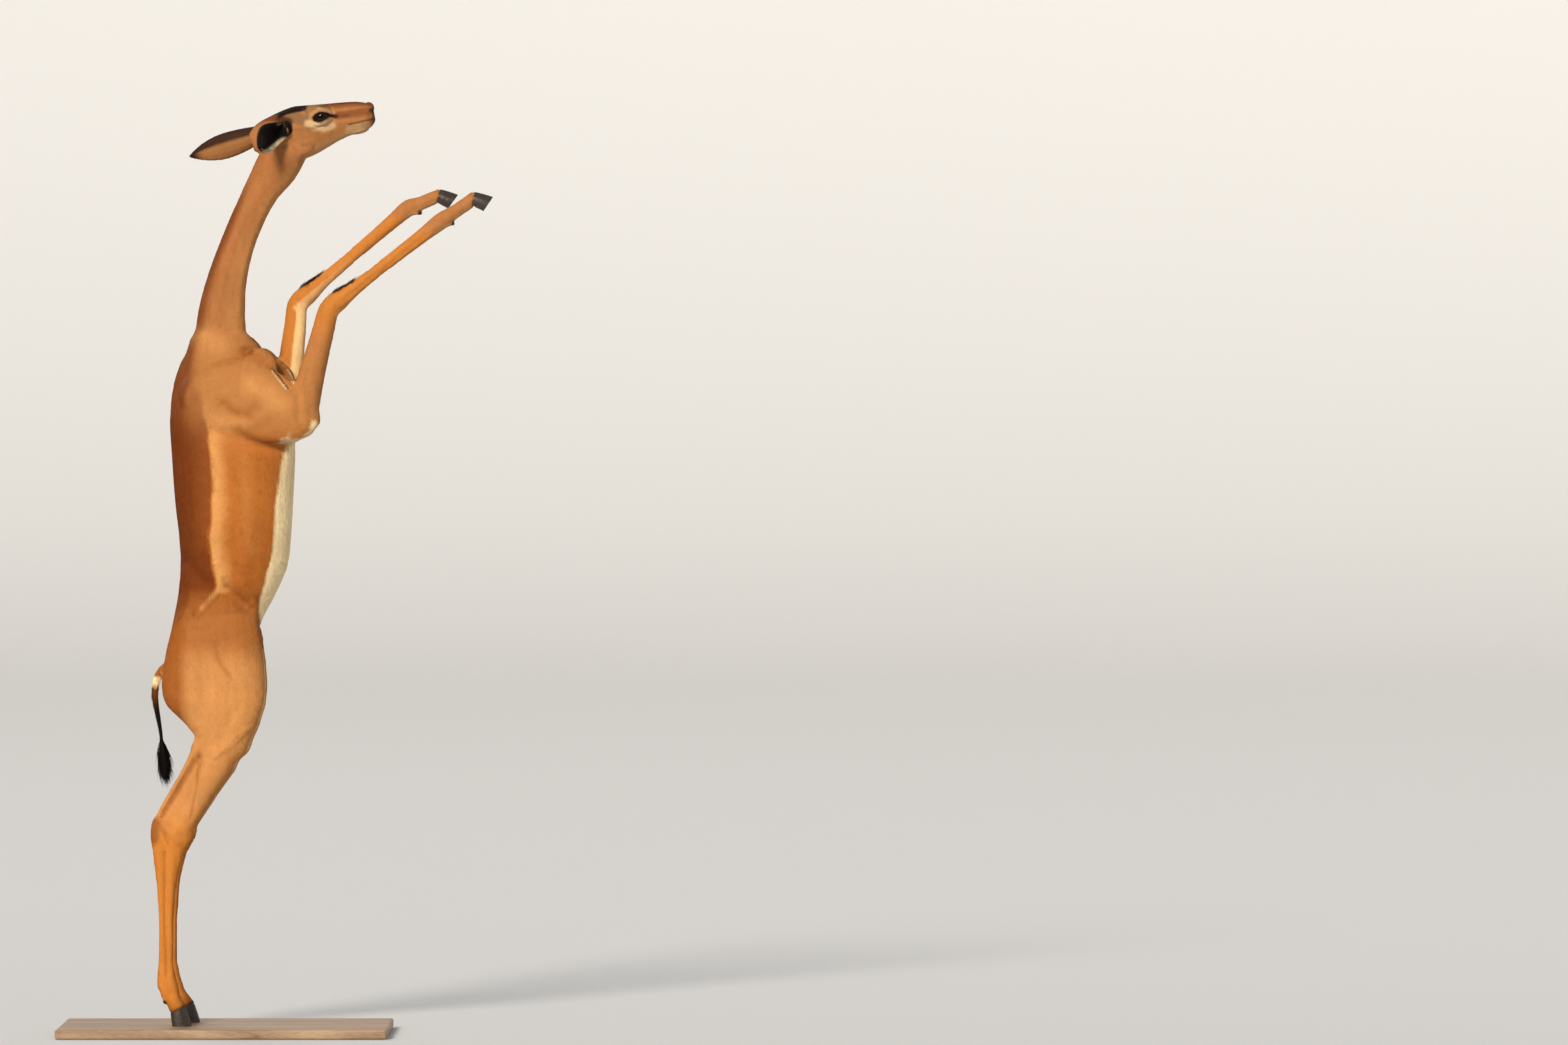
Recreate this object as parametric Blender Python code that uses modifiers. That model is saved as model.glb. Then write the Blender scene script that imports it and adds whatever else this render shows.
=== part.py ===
"""A female gerenuk reared upright on its hind legs to browse, life size, on a plain board.

Metres, +Z up. The belly faces +X and the animal's right side faces -Y. The origin is the
middle of the board's underside. Flesh is lofted, fused and smoothed as one body, then parted
with thin cuts into head, neck, torso and the lengths of each leg. Run it in Blender 4.5:

    blender --background --python part.py
"""

import math
import random

import bmesh
import bpy
from mathutils import Matrix, Vector

GAP = 0.0003
DOWN = (0, 0, -1)

# The board under the hooves
BOARD_LENGTH = 0.70
BOARD_WIDTH = 0.46
BOARD_THICKNESS = 0.020
BOARD_EDGE = 0.004
SOLE = BOARD_THICKNESS + GAP

# How finely the flesh is fused, and the triangles that it keeps
BODY_VOXEL = 0.0042
BODY_SMOOTHING = 9
BODY_TRIANGLES = 5200
HEAD_VOXEL = 0.0017
HEAD_SMOOTHING = 5
HEAD_TRIANGLES = 1950

# Trunk, from the rump up to the base of the neck: height, back line, belly line, half width
TRUNK = (
    (0.700, -0.100, 0.010, 0.040),
    (0.740, -0.124, 0.040, 0.060),
    (0.800, -0.128, 0.062, 0.074),
    (0.865, -0.114, 0.0715, 0.080),
    (0.935, -0.1005, 0.1075, 0.082),
    (0.997, -0.0955, 0.1335, 0.091),
    (1.060, -0.0985, 0.1410, 0.099),
    (1.120, -0.1057, 0.1445, 0.102),
    (1.184, -0.1110, 0.1480, 0.101),
    (1.240, -0.1145, 0.1500, 0.097),
    (1.300, -0.1180, 0.1480, 0.090),
    (1.350, -0.1130, 0.1440, 0.080),
    (1.400, -0.0970, 0.1260, 0.068),
    (1.450, -0.0835, 0.0850, 0.055),
    (1.485, -0.0755, 0.0600, 0.047),
)

# Neck, from inside the chest up to the skull: x, height, half depth, half width
NECK = (
    (-0.004, 1.400, 0.082, 0.058),
    (-0.0105, 1.455, 0.0625, 0.050),
    (-0.0090, 1.510, 0.0535, 0.044),
    (-0.0030, 1.565, 0.0475, 0.0385),
    (0.0075, 1.618, 0.0415, 0.035),
    (0.0265, 1.680, 0.0370, 0.0325),
    (0.0500, 1.738, 0.0362, 0.032),
    (0.0785, 1.795, 0.0382, 0.0335),
    (0.1095, 1.843, 0.0460, 0.0365),
    (0.1320, 1.885, 0.0465, 0.038),
)

# Skull and muzzle, from the occiput to the lips: x, height, half depth, half width
SKULL = (
    (0.058, 1.896, 0.020, 0.016),
    (0.078, 1.902, 0.036, 0.032),
    (0.105, 1.9075, 0.0455, 0.0385),
    (0.135, 1.913, 0.0535, 0.041),
    (0.160, 1.918, 0.0565, 0.0415),
    (0.185, 1.925, 0.0525, 0.040),
    (0.207, 1.932, 0.0470, 0.0355),
    (0.230, 1.939, 0.0415, 0.0295),
    (0.255, 1.9455, 0.0368, 0.0245),
    (0.278, 1.9495, 0.0340, 0.0225),
    (0.297, 1.9525, 0.0300, 0.0215),
    (0.310, 1.9545, 0.0230, 0.0180),
    (0.318, 1.9560, 0.0120, 0.0100),
)

# Haunch, from the loin down to the stifle: height, back line, front line, sideways place, half width
HAUNCH = (
    (0.910, -0.092, 0.052, 0.034, 0.042),
    (0.867, -0.110, 0.0715, 0.040, 0.046),
    (0.824, -0.122, 0.0805, 0.046, 0.048),
    (0.780, -0.130, 0.0860, 0.052, 0.049),
    (0.735, -0.133, 0.0880, 0.057, 0.048),
    (0.700, -0.122, 0.0840, 0.062, 0.046),
    (0.668, -0.089, 0.0745, 0.067, 0.043),
    (0.638, -0.064, 0.0650, 0.072, 0.040),
    (0.610, -0.056, 0.0500, 0.075, 0.037),
    (0.585, -0.056, 0.0290, 0.076, 0.034),
)

# Second thigh, from the stifle down to the hock: x, height, half depth, half width
SHANK = (
    (-0.0058, 0.6128, 0.0430, 0.036),
    (-0.0155, 0.5766, 0.0390, 0.035),
    (-0.0382, 0.5320, 0.0312, 0.030),
    (-0.0605, 0.4912, 0.0272, 0.0245),
    (-0.0835, 0.4552, 0.0265, 0.0215),
    (-0.102, 0.425, 0.0290, 0.0215),
    (-0.113, 0.395, 0.0260, 0.0190),
)
HEEL_CORD = (
    (-0.050, 0.625, 0.0150, 0.0150),
    (-0.076, 0.570, 0.0085, 0.0090),
    (-0.106, 0.517, 0.0075, 0.0075),
    (-0.130, 0.474, 0.0085, 0.0080),
    (-0.1435, 0.447, 0.0120, 0.0105),
    (-0.1440, 0.425, 0.0115, 0.0110),
)
HEEL_WEB = (
    (-0.030, 0.590, 0.0440, 0.0110),
    (-0.056, 0.545, 0.0420, 0.0065),
    (-0.086, 0.500, 0.0400, 0.0055),
    (-0.110, 0.460, 0.0380, 0.0070),
)

# Hind cannon, from the hock down to the fetlock: height, back line, front line, half width
HIND_CANNON = (
    (0.460, -0.142, -0.095, 0.0140),
    (0.434, -0.1560, -0.0640, 0.0185),
    (0.412, -0.1555, -0.0680, 0.0205),
    (0.383, -0.1510, -0.0840, 0.0180),
    (0.353, -0.1475, -0.0925, 0.0155),
    (0.315, -0.1430, -0.0995, 0.0140),
    (0.252, -0.1385, -0.1045, 0.0125),
    (0.195, -0.1380, -0.1055, 0.0122),
    (0.150, -0.1395, -0.1055, 0.0135),
    (0.118, -0.1430, -0.0990, 0.0175),
    (0.098, -0.1420, -0.0930, 0.0190),
)
HIND_STANCE = 0.078
HIND_FETLOCK = (-0.1175, 0.098)
HIND_CORONET = (-0.0975, 0.0560)
HIND_PASTERN_ANGLE = -64.0
FORE_HOOF_SIZE = 0.88

# Dewclaw behind each fetlock: share of its length, half thickness
DEWCLAW = ((0.0, 0.0050), (0.5, 0.0047), (0.85, 0.0034), (1.0, 0.0016))
DEWCLAW_SPREAD = 0.0088
FAR_FOOT_FORWARD = 0.010

# Shoulder and upper arm, from the blade to the point of the elbow, measured from the elbow:
# x, height, sideways place, half depth, half width
UPPER_ARM = (
    (-0.205, 0.075, 0.050, 0.060, 0.026),
    (-0.150, 0.060, 0.062, 0.084, 0.030),
    (-0.095, 0.042, 0.073, 0.086, 0.034),
    (-0.050, 0.027, 0.081, 0.076, 0.035),
    (-0.010, 0.012, 0.085, 0.062, 0.033),
    (0.018, -0.003, 0.085, 0.043, 0.027),
    (0.031, -0.014, 0.084, 0.021, 0.015),
)

# Foreleg below the elbow: share of the way along each bone, half depth, half width
FOREARM = (
    (-0.06, 0.034, 0.027),
    (0.16, 0.0345, 0.030),
    (0.38, 0.0300, 0.0275),
    (0.60, 0.0268, 0.0240),
    (0.82, 0.0245, 0.0215),
    (0.98, 0.0230, 0.0215),
)
FORE_CANNON = (
    (0.08, 0.0232, 0.0205),
    (0.17, 0.0186, 0.0170),
    (0.30, 0.0153, 0.0142),
    (0.58, 0.0147, 0.0135),
    (0.84, 0.0158, 0.0148),
    (1.00, 0.0188, 0.0178),
)
FORE_PASTERN = (
    (0.34, 0.0158, 0.0160),
    (0.64, 0.0148, 0.0165),
    (0.88, 0.0150, 0.0176),
    (1.00, 0.0154, 0.0182),
)

# Joints of each foreleg in side view: elbow, carpus, fetlock, coronet, then the hoof's angle
FORELEGS = {
    "right": ((0.160, 1.298), (0.2245, 1.5440), (0.4600, 1.7270), (0.531, 1.7755), -8.0),
    "left": ((0.122, 1.302), (0.1515, 1.5560), (0.3860, 1.7565), (0.453, 1.7835), -10.0),
}
ARM_PLACES = (0.085, 0.080, 0.070, 0.067)

# Ear: share of the length, half width, half thickness
EAR_SHAPE = (
    (0.00, 0.0165, 0.0150),
    (0.10, 0.0205, 0.0175),
    (0.26, 0.0270, 0.0185),
    (0.44, 0.0315, 0.0160),
    (0.62, 0.0310, 0.0120),
    (0.80, 0.0225, 0.0080),
    (0.93, 0.0110, 0.0045),
    (1.00, 0.0030, 0.0018),
)
EAR_WALL = 0.0028
EARS = {
    "right": ((0.1305, -0.038, 1.9245), (-0.31, -0.92, -0.24), (0.86, -0.30, 0.12)),
    "left": ((0.090, 0.036, 1.9215), (-0.950, 0.14, -0.305), (0.10, 0.95, 0.25)),
}

# Each ear's length, and its width against the shape above
EAR_SIZES = {"right": (0.166, 0.95), "left": (0.178, 0.88)}

# Line of the mouth from its corner round the lips, and the slit along it
MOUTH = (
    (0.2600, -0.0250, 1.9335),
    (0.2740, -0.0232, 1.9360),
    (0.2900, -0.0222, 1.9395),
    (0.3050, -0.0185, 1.9435),
    (0.3150, -0.0105, 1.9465),
    (0.3185, 0.0000, 1.9475),
)
MOUTH_DEPTH = 0.0050
MOUTH_GAP = 0.0010

EYE_RADIUS = 0.0170
EYE_PLACE = (0.2065, 0.0335, 1.9500)
LID_RADIUS = 0.0188

# Almond between the lids: half length, half height, slope up towards the nose
EYE_OPENING = (0.0150, 0.0072)
EYE_SLOPE = 11.0

# Tail from its root, and the black tuft of locks at its end: x, height, half depth, half width
TAIL_CUT = -0.1415
TAIL_CUT_LOW = 0.706
TAIL = (
    (-0.112, 0.783, 0.0125, 0.0125),
    (-0.134, 0.774, 0.0110, 0.0115),
    (-0.1495, 0.752, 0.0090, 0.0105),
    (-0.1510, 0.720, 0.0075, 0.0090),
    (-0.1445, 0.685, 0.0055, 0.0065),
    (-0.1380, 0.650, 0.0042, 0.0045),
    (-0.1345, 0.615, 0.0042, 0.0042),
    (-0.1325, 0.580, 0.0040, 0.0040),
    (-0.1300, 0.550, 0.0025, 0.0025),
)
TUFT_LOCKS = 13
TUFT_TOP = 0.622
TUFT_LENGTH = 0.095
TUFT_SPREAD = 0.0145
LOCK_SHAPE = (
    (0.00, 0.00, 0.0018, 0.0040),
    (0.30, 0.75, 0.0020, 0.0054),
    (0.65, 1.00, 0.0017, 0.0046),
    (1.00, 0.55, 0.0006, 0.0008),
)

# Where the flesh is parted: a point and the way towards the part that is taken off
HEAD_CUT = ((0.100, 0, 1.815), (0.50, 0, 0.86))
NECK_CUT = ((-0.015, 0, 1.452), (-0.30, 0, 0.95))
ARM_CUT_X = 0.100
ARM_CUT_Y = 0.043
HIP_CUT = ((-0.020, 0, 0.818), (0.48, 0, -0.88))
STIFLE_CUT = ((-0.005, 0, 0.604), (-0.42, 0, -0.91))
HOCK_CUT = ((-0.108, 0, 0.436), (-0.35, 0, -0.94))

COLOURS = {
    "coat": (0.50, 0.20, 0.07, 1),
    "pale_coat": (0.80, 0.66, 0.48, 1),
    "horn": (0.025, 0.020, 0.018, 1),
    "eye": (0.010, 0.006, 0.004, 1),
    "tuft": (0.020, 0.014, 0.011, 1),
    "board": (0.20, 0.12, 0.07, 1),
}
SIDES = {"right": -1, "left": 1}


def clear_scene():
    for obj in list(bpy.data.objects):
        bpy.data.objects.remove(obj, do_unlink=True)


def material(name, roughness=0.6):
    """A plain Principled finish in one of the named colours."""
    made = bpy.data.materials.get(name)
    if made is None:
        made = bpy.data.materials.new(name)
        made.use_nodes = True
        shader = made.node_tree.nodes["Principled BSDF"]
        shader.inputs["Base Color"].default_value = COLOURS[name]
        shader.inputs["Roughness"].default_value = roughness
        made.diffuse_color = COLOURS[name]
    return made


def new_object(name, bm):
    """A mesh object from a bmesh, which is freed, with its faces pointing out."""
    bmesh.ops.recalc_face_normals(bm, faces=bm.faces[:])
    mesh = bpy.data.meshes.new(name)
    bm.to_mesh(mesh)
    bm.free()
    obj = bpy.data.objects.new(name, mesh)
    bpy.context.scene.collection.objects.link(obj)
    return obj


def curve_value(rows, t):
    """The values at t along the rows, from a smooth curve through them."""
    i = min(int(t), len(rows) - 2)
    f = t - i
    before, after = rows[max(i - 1, 0)], rows[min(i + 2, len(rows) - 1)]
    values = []
    for a, b, c, d in zip(before, rows[i], rows[i + 1], after):
        linear = (c - a) * f
        square = (2 * a - 5 * b + 4 * c - d) * f * f
        cube = (3 * b - a - 3 * c + d) * f**3
        values.append(b + 0.5 * (linear + square + cube))
    return values


def eased(value, squareness):
    return math.copysign(abs(value) ** (2 / squareness), value)


def loft(name, rows, sides=24, steps=4, squareness=2.0, lateral=(0, 1, 0), narrow=0.0, way=None):
    """A closed skin over rows of (x, y, z, half depth, half width), smooth between them.

    narrow pinches the section on the side that the depth axis points to. The sections stand
    across the rows' own path, or across way when it is given."""
    curve = [curve_value(rows, i / steps) for i in range((len(rows) - 1) * steps + 1)]
    centres = [Vector(values[:3]) for values in curve]
    bm = bmesh.new()
    rings = []
    for i, (centre, values) in enumerate(zip(centres, curve)):
        ahead = centres[min(i + 1, len(centres) - 1)]
        behind = centres[max(i - 1, 0)]
        along = Vector(way) if way else (ahead - behind).normalized()
        depth = Vector(lateral).cross(along).normalized()
        width = along.cross(depth)
        ring = []
        for k in range(sides):
            turn = 2 * math.pi * k / sides
            out = eased(math.cos(turn), squareness) * values[3]
            pinch = 1 - narrow * math.cos(turn)
            across = eased(math.sin(turn), squareness) * values[4] * pinch
            ring.append(bm.verts.new(centre + depth * out + width * across))
        rings.append(ring)
    for low, high in zip(rings, rings[1:]):
        for k in range(sides):
            after = (k + 1) % sides
            bm.faces.new((low[k], low[after], high[after], high[k]))
    bm.faces.new(rings[0][::-1])
    bm.faces.new(rings[-1])
    return new_object(name, bm)


def blob(name, place, radii, tilt=0.0, turn=0.0):
    """An egg of flesh or bone, tilted about Y and turned about Z, in degrees."""
    bm = bmesh.new()
    bmesh.ops.create_uvsphere(bm, u_segments=24, v_segments=14, radius=1.0)
    spin = Matrix.Rotation(math.radians(turn), 4, "Z") @ Matrix.Rotation(math.radians(tilt), 4, "Y")
    bm.transform(Matrix.Translation(place) @ spin @ Matrix.Diagonal((*radii, 1)))
    return new_object(name, bm)


def settled(obj):
    """The object with its modifiers made part of its mesh."""
    graph = bpy.context.evaluated_depsgraph_get()
    mesh = bpy.data.meshes.new_from_object(obj.evaluated_get(graph))
    obj.modifiers.clear()
    obj.data = mesh
    return obj


def joined(name, pieces):
    """One object that holds the pieces' meshes, which are removed."""
    bm = bmesh.new()
    for piece in pieces:
        bm.from_mesh(piece.data)
        bpy.data.objects.remove(piece, do_unlink=True)
    return new_object(name, bm)


def fused(name, pieces, voxel, smoothing, triangles):
    """Overlapping pieces as one smooth body of about that many triangles."""
    body = joined(name, pieces)
    remesh = body.modifiers.new("fuse", "REMESH")
    remesh.mode = "VOXEL"
    remesh.voxel_size = voxel
    smooth = body.modifiers.new("smooth", "SMOOTH")
    smooth.factor = 0.5
    smooth.iterations = smoothing
    settled(body)
    thin = body.modifiers.new("thin", "DECIMATE")
    thin.ratio = triangles / (2 * len(body.data.polygons))
    settled(body)
    bm = bmesh.new()
    bm.from_mesh(body.data)
    bmesh.ops.dissolve_degenerate(bm, dist=1e-5, edges=bm.edges[:])
    bmesh.ops.triangulate(bm, faces=bm.faces[:])
    keep_largest(bm)
    bm.to_mesh(body.data)
    bm.free()
    return body


def keep_largest(bm):
    """Drops every surface but the one with most faces."""
    unseen = set(bm.faces)
    groups = []
    while unseen:
        group, front = [], [unseen.pop()]
        while front:
            face = front.pop()
            group.append(face)
            for edge in face.edges:
                for other in edge.link_faces:
                    if other in unseen:
                        unseen.discard(other)
                        front.append(other)
        groups.append(group)
    groups.sort(key=len)
    for group in groups[:-1]:
        bmesh.ops.delete(bm, geom=group, context="FACES")


def region(planes, grow=0.0):
    """A convex block bounded by planes (point, way out), each moved outwards by grow."""
    bm = bmesh.new()
    bmesh.ops.create_cube(bm, size=5.0)
    for point, outward in planes:
        normal = Vector(outward).normalized()
        whole = bm.verts[:] + bm.edges[:] + bm.faces[:]
        place = Vector(point) + normal * grow
        cut = bmesh.ops.bisect_plane(
            bm, geom=whole, plane_co=place, plane_no=normal, clear_outer=True
        )
        rim = [e for e in cut["geom_cut"] if isinstance(e, bmesh.types.BMEdge)]
        bmesh.ops.contextual_create(bm, geom=rim)
    return new_object("region", bm)


def boolean(obj, other, operation, solver="EXACT"):
    """obj cut or joined by other, which is removed."""
    step = obj.modifiers.new("step", "BOOLEAN")
    step.operation = operation
    step.solver = solver
    step.object = other
    settled(obj)
    bpy.data.objects.remove(other, do_unlink=True)
    bm = bmesh.new()
    bm.from_mesh(obj.data)
    keep_largest(bm)
    bmesh.ops.triangulate(bm, faces=bm.faces[:])
    bm.to_mesh(obj.data)
    bm.free()
    return obj


def part_off(body, name, planes):
    """Takes the part of body inside the planes off it as a new object, with a thin gap."""
    piece = body.copy()
    piece.data = body.data.copy()
    piece.name = name
    bpy.context.scene.collection.objects.link(piece)
    boolean(piece, region(planes), "INTERSECT")
    boolean(body, region(planes, GAP), "DIFFERENCE")
    return piece


def in_plane(rows, place):
    """Rows of (x, z, half depth, half width) with a sideways place put in."""
    return [(x, place, z, depth, width) for x, z, depth, width in rows]


def between_lines(rows, place=0.0):
    """Rows of (height, back line, front line, half width) as centres and half sizes."""
    return [
        ((back + front) / 2, place, z, (front - back) / 2, width)
        for z, back, front, width in rows
    ]


def trunk_and_neck():
    """Ribcage, belly and loin, the long neck, and the root of the tail."""
    trunk = loft("trunk", between_lines(TRUNK), sides=36, squareness=2.15, narrow=0.08, way=(0, 0, 1))
    neck = loft("neck_flesh", in_plane(NECK, 0), sides=28)
    root = loft("tail_root", in_plane(TAIL, 0)[:4], sides=14)
    pieces = [trunk, neck, root]
    pieces.append(blob("withers", (-0.070, 0, 1.370), (0.042, 0.034, 0.110), tilt=12))
    pieces.append(blob("brisket", (0.100, 0, 1.385), (0.050, 0.036, 0.052), tilt=-35))
    for side in SIDES.values():
        pieces.append(blob("blade", (-0.012, side * 0.058, 1.372), (0.086, 0.024, 0.050), tilt=-14))
        pieces.append(blob("shoulder_point", (0.078, side * 0.062, 1.425), (0.040, 0.024, 0.032), tilt=40))
        pieces.append(blob("hip_bone", (-0.008, side * 0.066, 0.945), (0.022, 0.018, 0.020)))
    return pieces


def hind_leg(side):
    """Haunch, second thigh with its heel cord, hock, cannon and pastern."""
    forward = FAR_FOOT_FORWARD if side > 0 else 0.0
    haunch = [
        ((back + front) / 2, side * place, z, (front - back) / 2, width)
        for z, back, front, place, width in HAUNCH
    ]
    pieces = [loft("haunch", haunch, sides=28, squareness=2.2, way=DOWN)]
    pieces.append(loft("shank", in_plane(SHANK, side * HIND_STANCE), sides=20))
    pieces.append(loft("heel_cord", in_plane(HEEL_CORD, side * HIND_STANCE), sides=12))
    pieces.append(loft("heel_web", in_plane(HEEL_WEB, side * HIND_STANCE), sides=16))
    cannon = between_lines(HIND_CANNON, side * HIND_STANCE)
    pieces.append(loft("hind_cannon", cannon, sides=20, squareness=2.2, way=DOWN))
    pieces.append(loft("hind_pastern", pastern_rows(side, forward), sides=18))
    pieces.append(blob("kneecap", (0.030, side * 0.078, 0.612), (0.026, 0.024, 0.030), tilt=20))
    pieces.append(blob("ankle", (-0.100, side * HIND_STANCE, 0.432), (0.022, 0.0235, 0.018)))
    return pieces


def pastern_rows(side, forward):
    """The hind pastern from the fetlock to just past the coronet."""
    start, end = Vector(HIND_FETLOCK), Vector(HIND_CORONET)
    end.x += forward
    place = side * HIND_STANCE
    sizes = ((0.0, 0.0245, 0.0190), (0.4, 0.0185, 0.0180), (0.75, 0.0180, 0.0195))
    sizes += ((1.0, 0.0190, 0.0212), (1.25, 0.0190, 0.0212))
    rows = []
    for share, depth, width in sizes:
        point = start.lerp(end, share)
        rows.append((point.x, place, point.y, depth, width))
    return rows


def foreleg(side, joints):
    """Shoulder, upper arm, forearm, cannon and pastern on the given joints."""
    elbow, carpus, fetlock, coronet = (Vector(joint) for joint in joints)
    arm = [
        (elbow.x + x, side * place, elbow.y + z, depth, width)
        for x, z, place, depth, width in UPPER_ARM
    ]
    pieces = [loft("upper_arm", arm, sides=24, squareness=2.2)]
    bones = ((elbow, carpus, FOREARM), (carpus, fetlock, FORE_CANNON), (fetlock, coronet, FORE_PASTERN))
    rows = []
    for index, (start, end, sizes) in enumerate(bones):
        for share, depth, width in sizes:
            point = start.lerp(end, share)
            inner = ARM_PLACES[index] + (ARM_PLACES[index + 1] - ARM_PLACES[index]) * share
            rows.append((point.x, side * inner, point.y, depth, width))
    last = rows[-1]
    rows.append((last[0] + 0.014, last[1], last[2] - 0.003, last[3], last[4]))
    pieces.append(loft("lower_foreleg", rows, sides=18, steps=4))
    return pieces


def hoof_frame(coronet, place, angle):
    """The claws' own frame: x towards the toe, z up, turned so that the pastern has that angle."""
    turn = math.radians(HIND_PASTERN_ANGLE - angle)
    spin = Matrix.Rotation(turn, 4, "Y")
    return Matrix.Translation((coronet[0], place, coronet[1])) @ spin


def claw(name, frame, side, height, size):
    """One toe of a hoof, from the coronet down to a flat sole, with its tip turned in."""
    across = Vector((-math.sin(math.radians(HIND_PASTERN_ANGLE)), 0, math.cos(math.radians(HIND_PASTERN_ANGLE))))
    rows = (
        (Vector((0, 0, 0)), across, 0.0168, 0.0090),
        (Vector((0.003, 0, -0.30 * height)), Vector((0.96, 0, 0.27)), 0.0182, 0.0097),
        (Vector((0.0065, 0, -0.68 * height)), Vector((0.99, 0, 0.10)), 0.0196, 0.0100),
        (Vector((0.0090, 0, -height)), Vector((1, 0, 0)), 0.0208, 0.0096),
    )
    sides = 14
    bm = bmesh.new()
    rings = []
    for centre, along, length, width in rows:
        ring = []
        for k in range(sides):
            turn = 2 * math.pi * k / sides
            tip = max(0.0, math.cos(turn))
            out = math.sin(turn) * width * (1 - 0.42 * tip**2)
            inward = -side * 0.0035 * tip**2
            point = centre + along.normalized() * math.cos(turn) * length
            ring.append(bm.verts.new(point + Vector((0, side * 0.0107 + out + inward, 0))))
        rings.append(ring)
    for low, high in zip(rings, rings[1:]):
        for k in range(sides):
            after = (k + 1) % sides
            bm.faces.new((low[k], low[after], high[after], high[k]))
    bm.faces.new(rings[0][::-1])
    bm.faces.new(rings[-1])
    bm.transform(frame @ Matrix.Scale(size, 4))
    return new_object(name, bm)


def skull_flesh():
    """Skull, jaw, brows, lids, lips and nose, with the top of the neck and the ears' roots."""
    neck = in_plane(NECK, 0)[5:]
    skull = loft("skull", in_plane(SKULL, 0), sides=32, squareness=2.2, narrow=0.16)
    pieces = [loft("neck_top", neck, sides=28), skull]
    pieces.append(blob("crown", (0.124, 0, 1.946), (0.044, 0.028, 0.016), tilt=-20))
    pieces.append(blob("chin", (0.284, 0, 1.9225), (0.024, 0.0135, 0.0085), tilt=-12))
    pieces.append(blob("nose", (0.306, 0, 1.9700), (0.012, 0.0125, 0.0125)))
    for name, side in SIDES.items():
        pieces.append(blob("cheek", (0.163, side * 0.0265, 1.902), (0.040, 0.0120, 0.032), tilt=-28))
        pieces.append(blob("cheekbone", (0.172, side * 0.0385, 1.930), (0.042, 0.0075, 0.0085), tilt=-10))
        pieces.append(blob("orbit", (0.2020, side * 0.0315, 1.9505), (0.0300, 0.0135, 0.0215), turn=-8 * side))
        pieces.append(blob("brow", (0.1960, side * 0.0290, 1.9665), (0.0300, 0.0125, 0.0085), tilt=-3, turn=-10 * side))
        pieces.append(blob("upper_lip", (0.290, side * 0.0125, 1.9420), (0.024, 0.0095, 0.0105), tilt=-10))
        pieces.append(blob("nostril_wing", (0.304, side * 0.0125, 1.9660), (0.0120, 0.0075, 0.0110), tilt=20))
        pieces.append(blob("lids", (EYE_PLACE[0], side * EYE_PLACE[1], EYE_PLACE[2]), (LID_RADIUS,) * 3))
        base, axis, mouth = ear_frame(name)
        rows = [(*(base + axis * s), EAR_SHAPE[0][2], EAR_SHAPE[0][1]) for s in (-0.024, -0.008, 0.012)]
        pieces.append(loft("ear_root", rows, sides=18, lateral=mouth.cross(axis)))
    return pieces


def eye_opening(side):
    """The almond between the lids, as a short bar through them."""
    bm = bmesh.new()
    bmesh.ops.create_circle(bm, cap_ends=True, segments=20, radius=1.0)
    for vert in bm.verts:
        pinch = 1 - 0.42 * max(0.0, vert.co.x) ** 2
        vert.co = Vector((vert.co.x * EYE_OPENING[0], 0, vert.co.y * EYE_OPENING[1] * pinch))
    bar = bmesh.ops.extrude_face_region(bm, geom=bm.faces[:])["geom"]
    ends = [part for part in bar if isinstance(part, bmesh.types.BMVert)]
    bmesh.ops.translate(bm, verts=ends, vec=(0, side * 0.03, 0))
    place = Vector((EYE_PLACE[0], side * (EYE_PLACE[1] + 0.004), EYE_PLACE[2]))
    bm.transform(Matrix.Translation(place) @ Matrix.Rotation(math.radians(-EYE_SLOPE), 4, "Y"))
    return new_object("eye_opening", bm)


def ear_frame(name):
    """The ear's base, the way along it and the way that its cup opens."""
    base, axis, mouth = (Vector(v) for v in EARS[name])
    axis.normalize()
    mouth = (mouth - axis * mouth.dot(axis)).normalized()
    return base, axis, mouth


def ear_leaf(name, grow=0.0):
    """The ear's outside as a filled leaf from its flat base, larger all round by grow."""
    base, axis, mouth = ear_frame(name)
    breadth = EAR_SIZES[name][1]
    rows = []
    for share, width, thick in EAR_SHAPE:
        rows.append((*ear_centre(name, share), thick + grow, width * breadth + grow))
    leaf = loft(f"ear_{name}", rows, sides=14, steps=2, lateral=mouth.cross(axis))
    return boolean(leaf, region([(base + axis * (GAP - grow), -axis)]), "INTERSECT")


def ear_centre(name, share):
    """The middle of the ear that share of the way along, where it bows back from its cup."""
    base, axis, mouth = ear_frame(name)
    return base + axis * (share * EAR_SIZES[name][0]) - mouth * (0.012 * math.sin(math.pi * share))


def ear(name):
    """A leaf-shaped cup with a thin wall, open to its front."""
    _, axis, mouth = ear_frame(name)
    rows = []
    for share, width, thick in EAR_SHAPE[1:-1]:
        lifted = ear_centre(name, share) + mouth * (thick * 0.62 + EAR_WALL * 0.5)
        rows.append((*lifted, thick * 1.30, width * EAR_SIZES[name][1] - EAR_WALL * 0.9))
    cup = loft("cup", rows, sides=14, steps=2, lateral=mouth.cross(axis))
    return boolean(ear_leaf(name), cup, "DIFFERENCE")


def eyeball(name, radius):
    bm = bmesh.new()
    bmesh.ops.create_uvsphere(bm, u_segments=18, v_segments=10, radius=radius)
    side = SIDES[name]
    place = Vector((EYE_PLACE[0], side * EYE_PLACE[1], EYE_PLACE[2]))
    bm.transform(Matrix.Translation(place) @ Matrix.Rotation(math.pi / 2, 4, "X"))
    return new_object(f"eye_{name}", bm)


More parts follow.
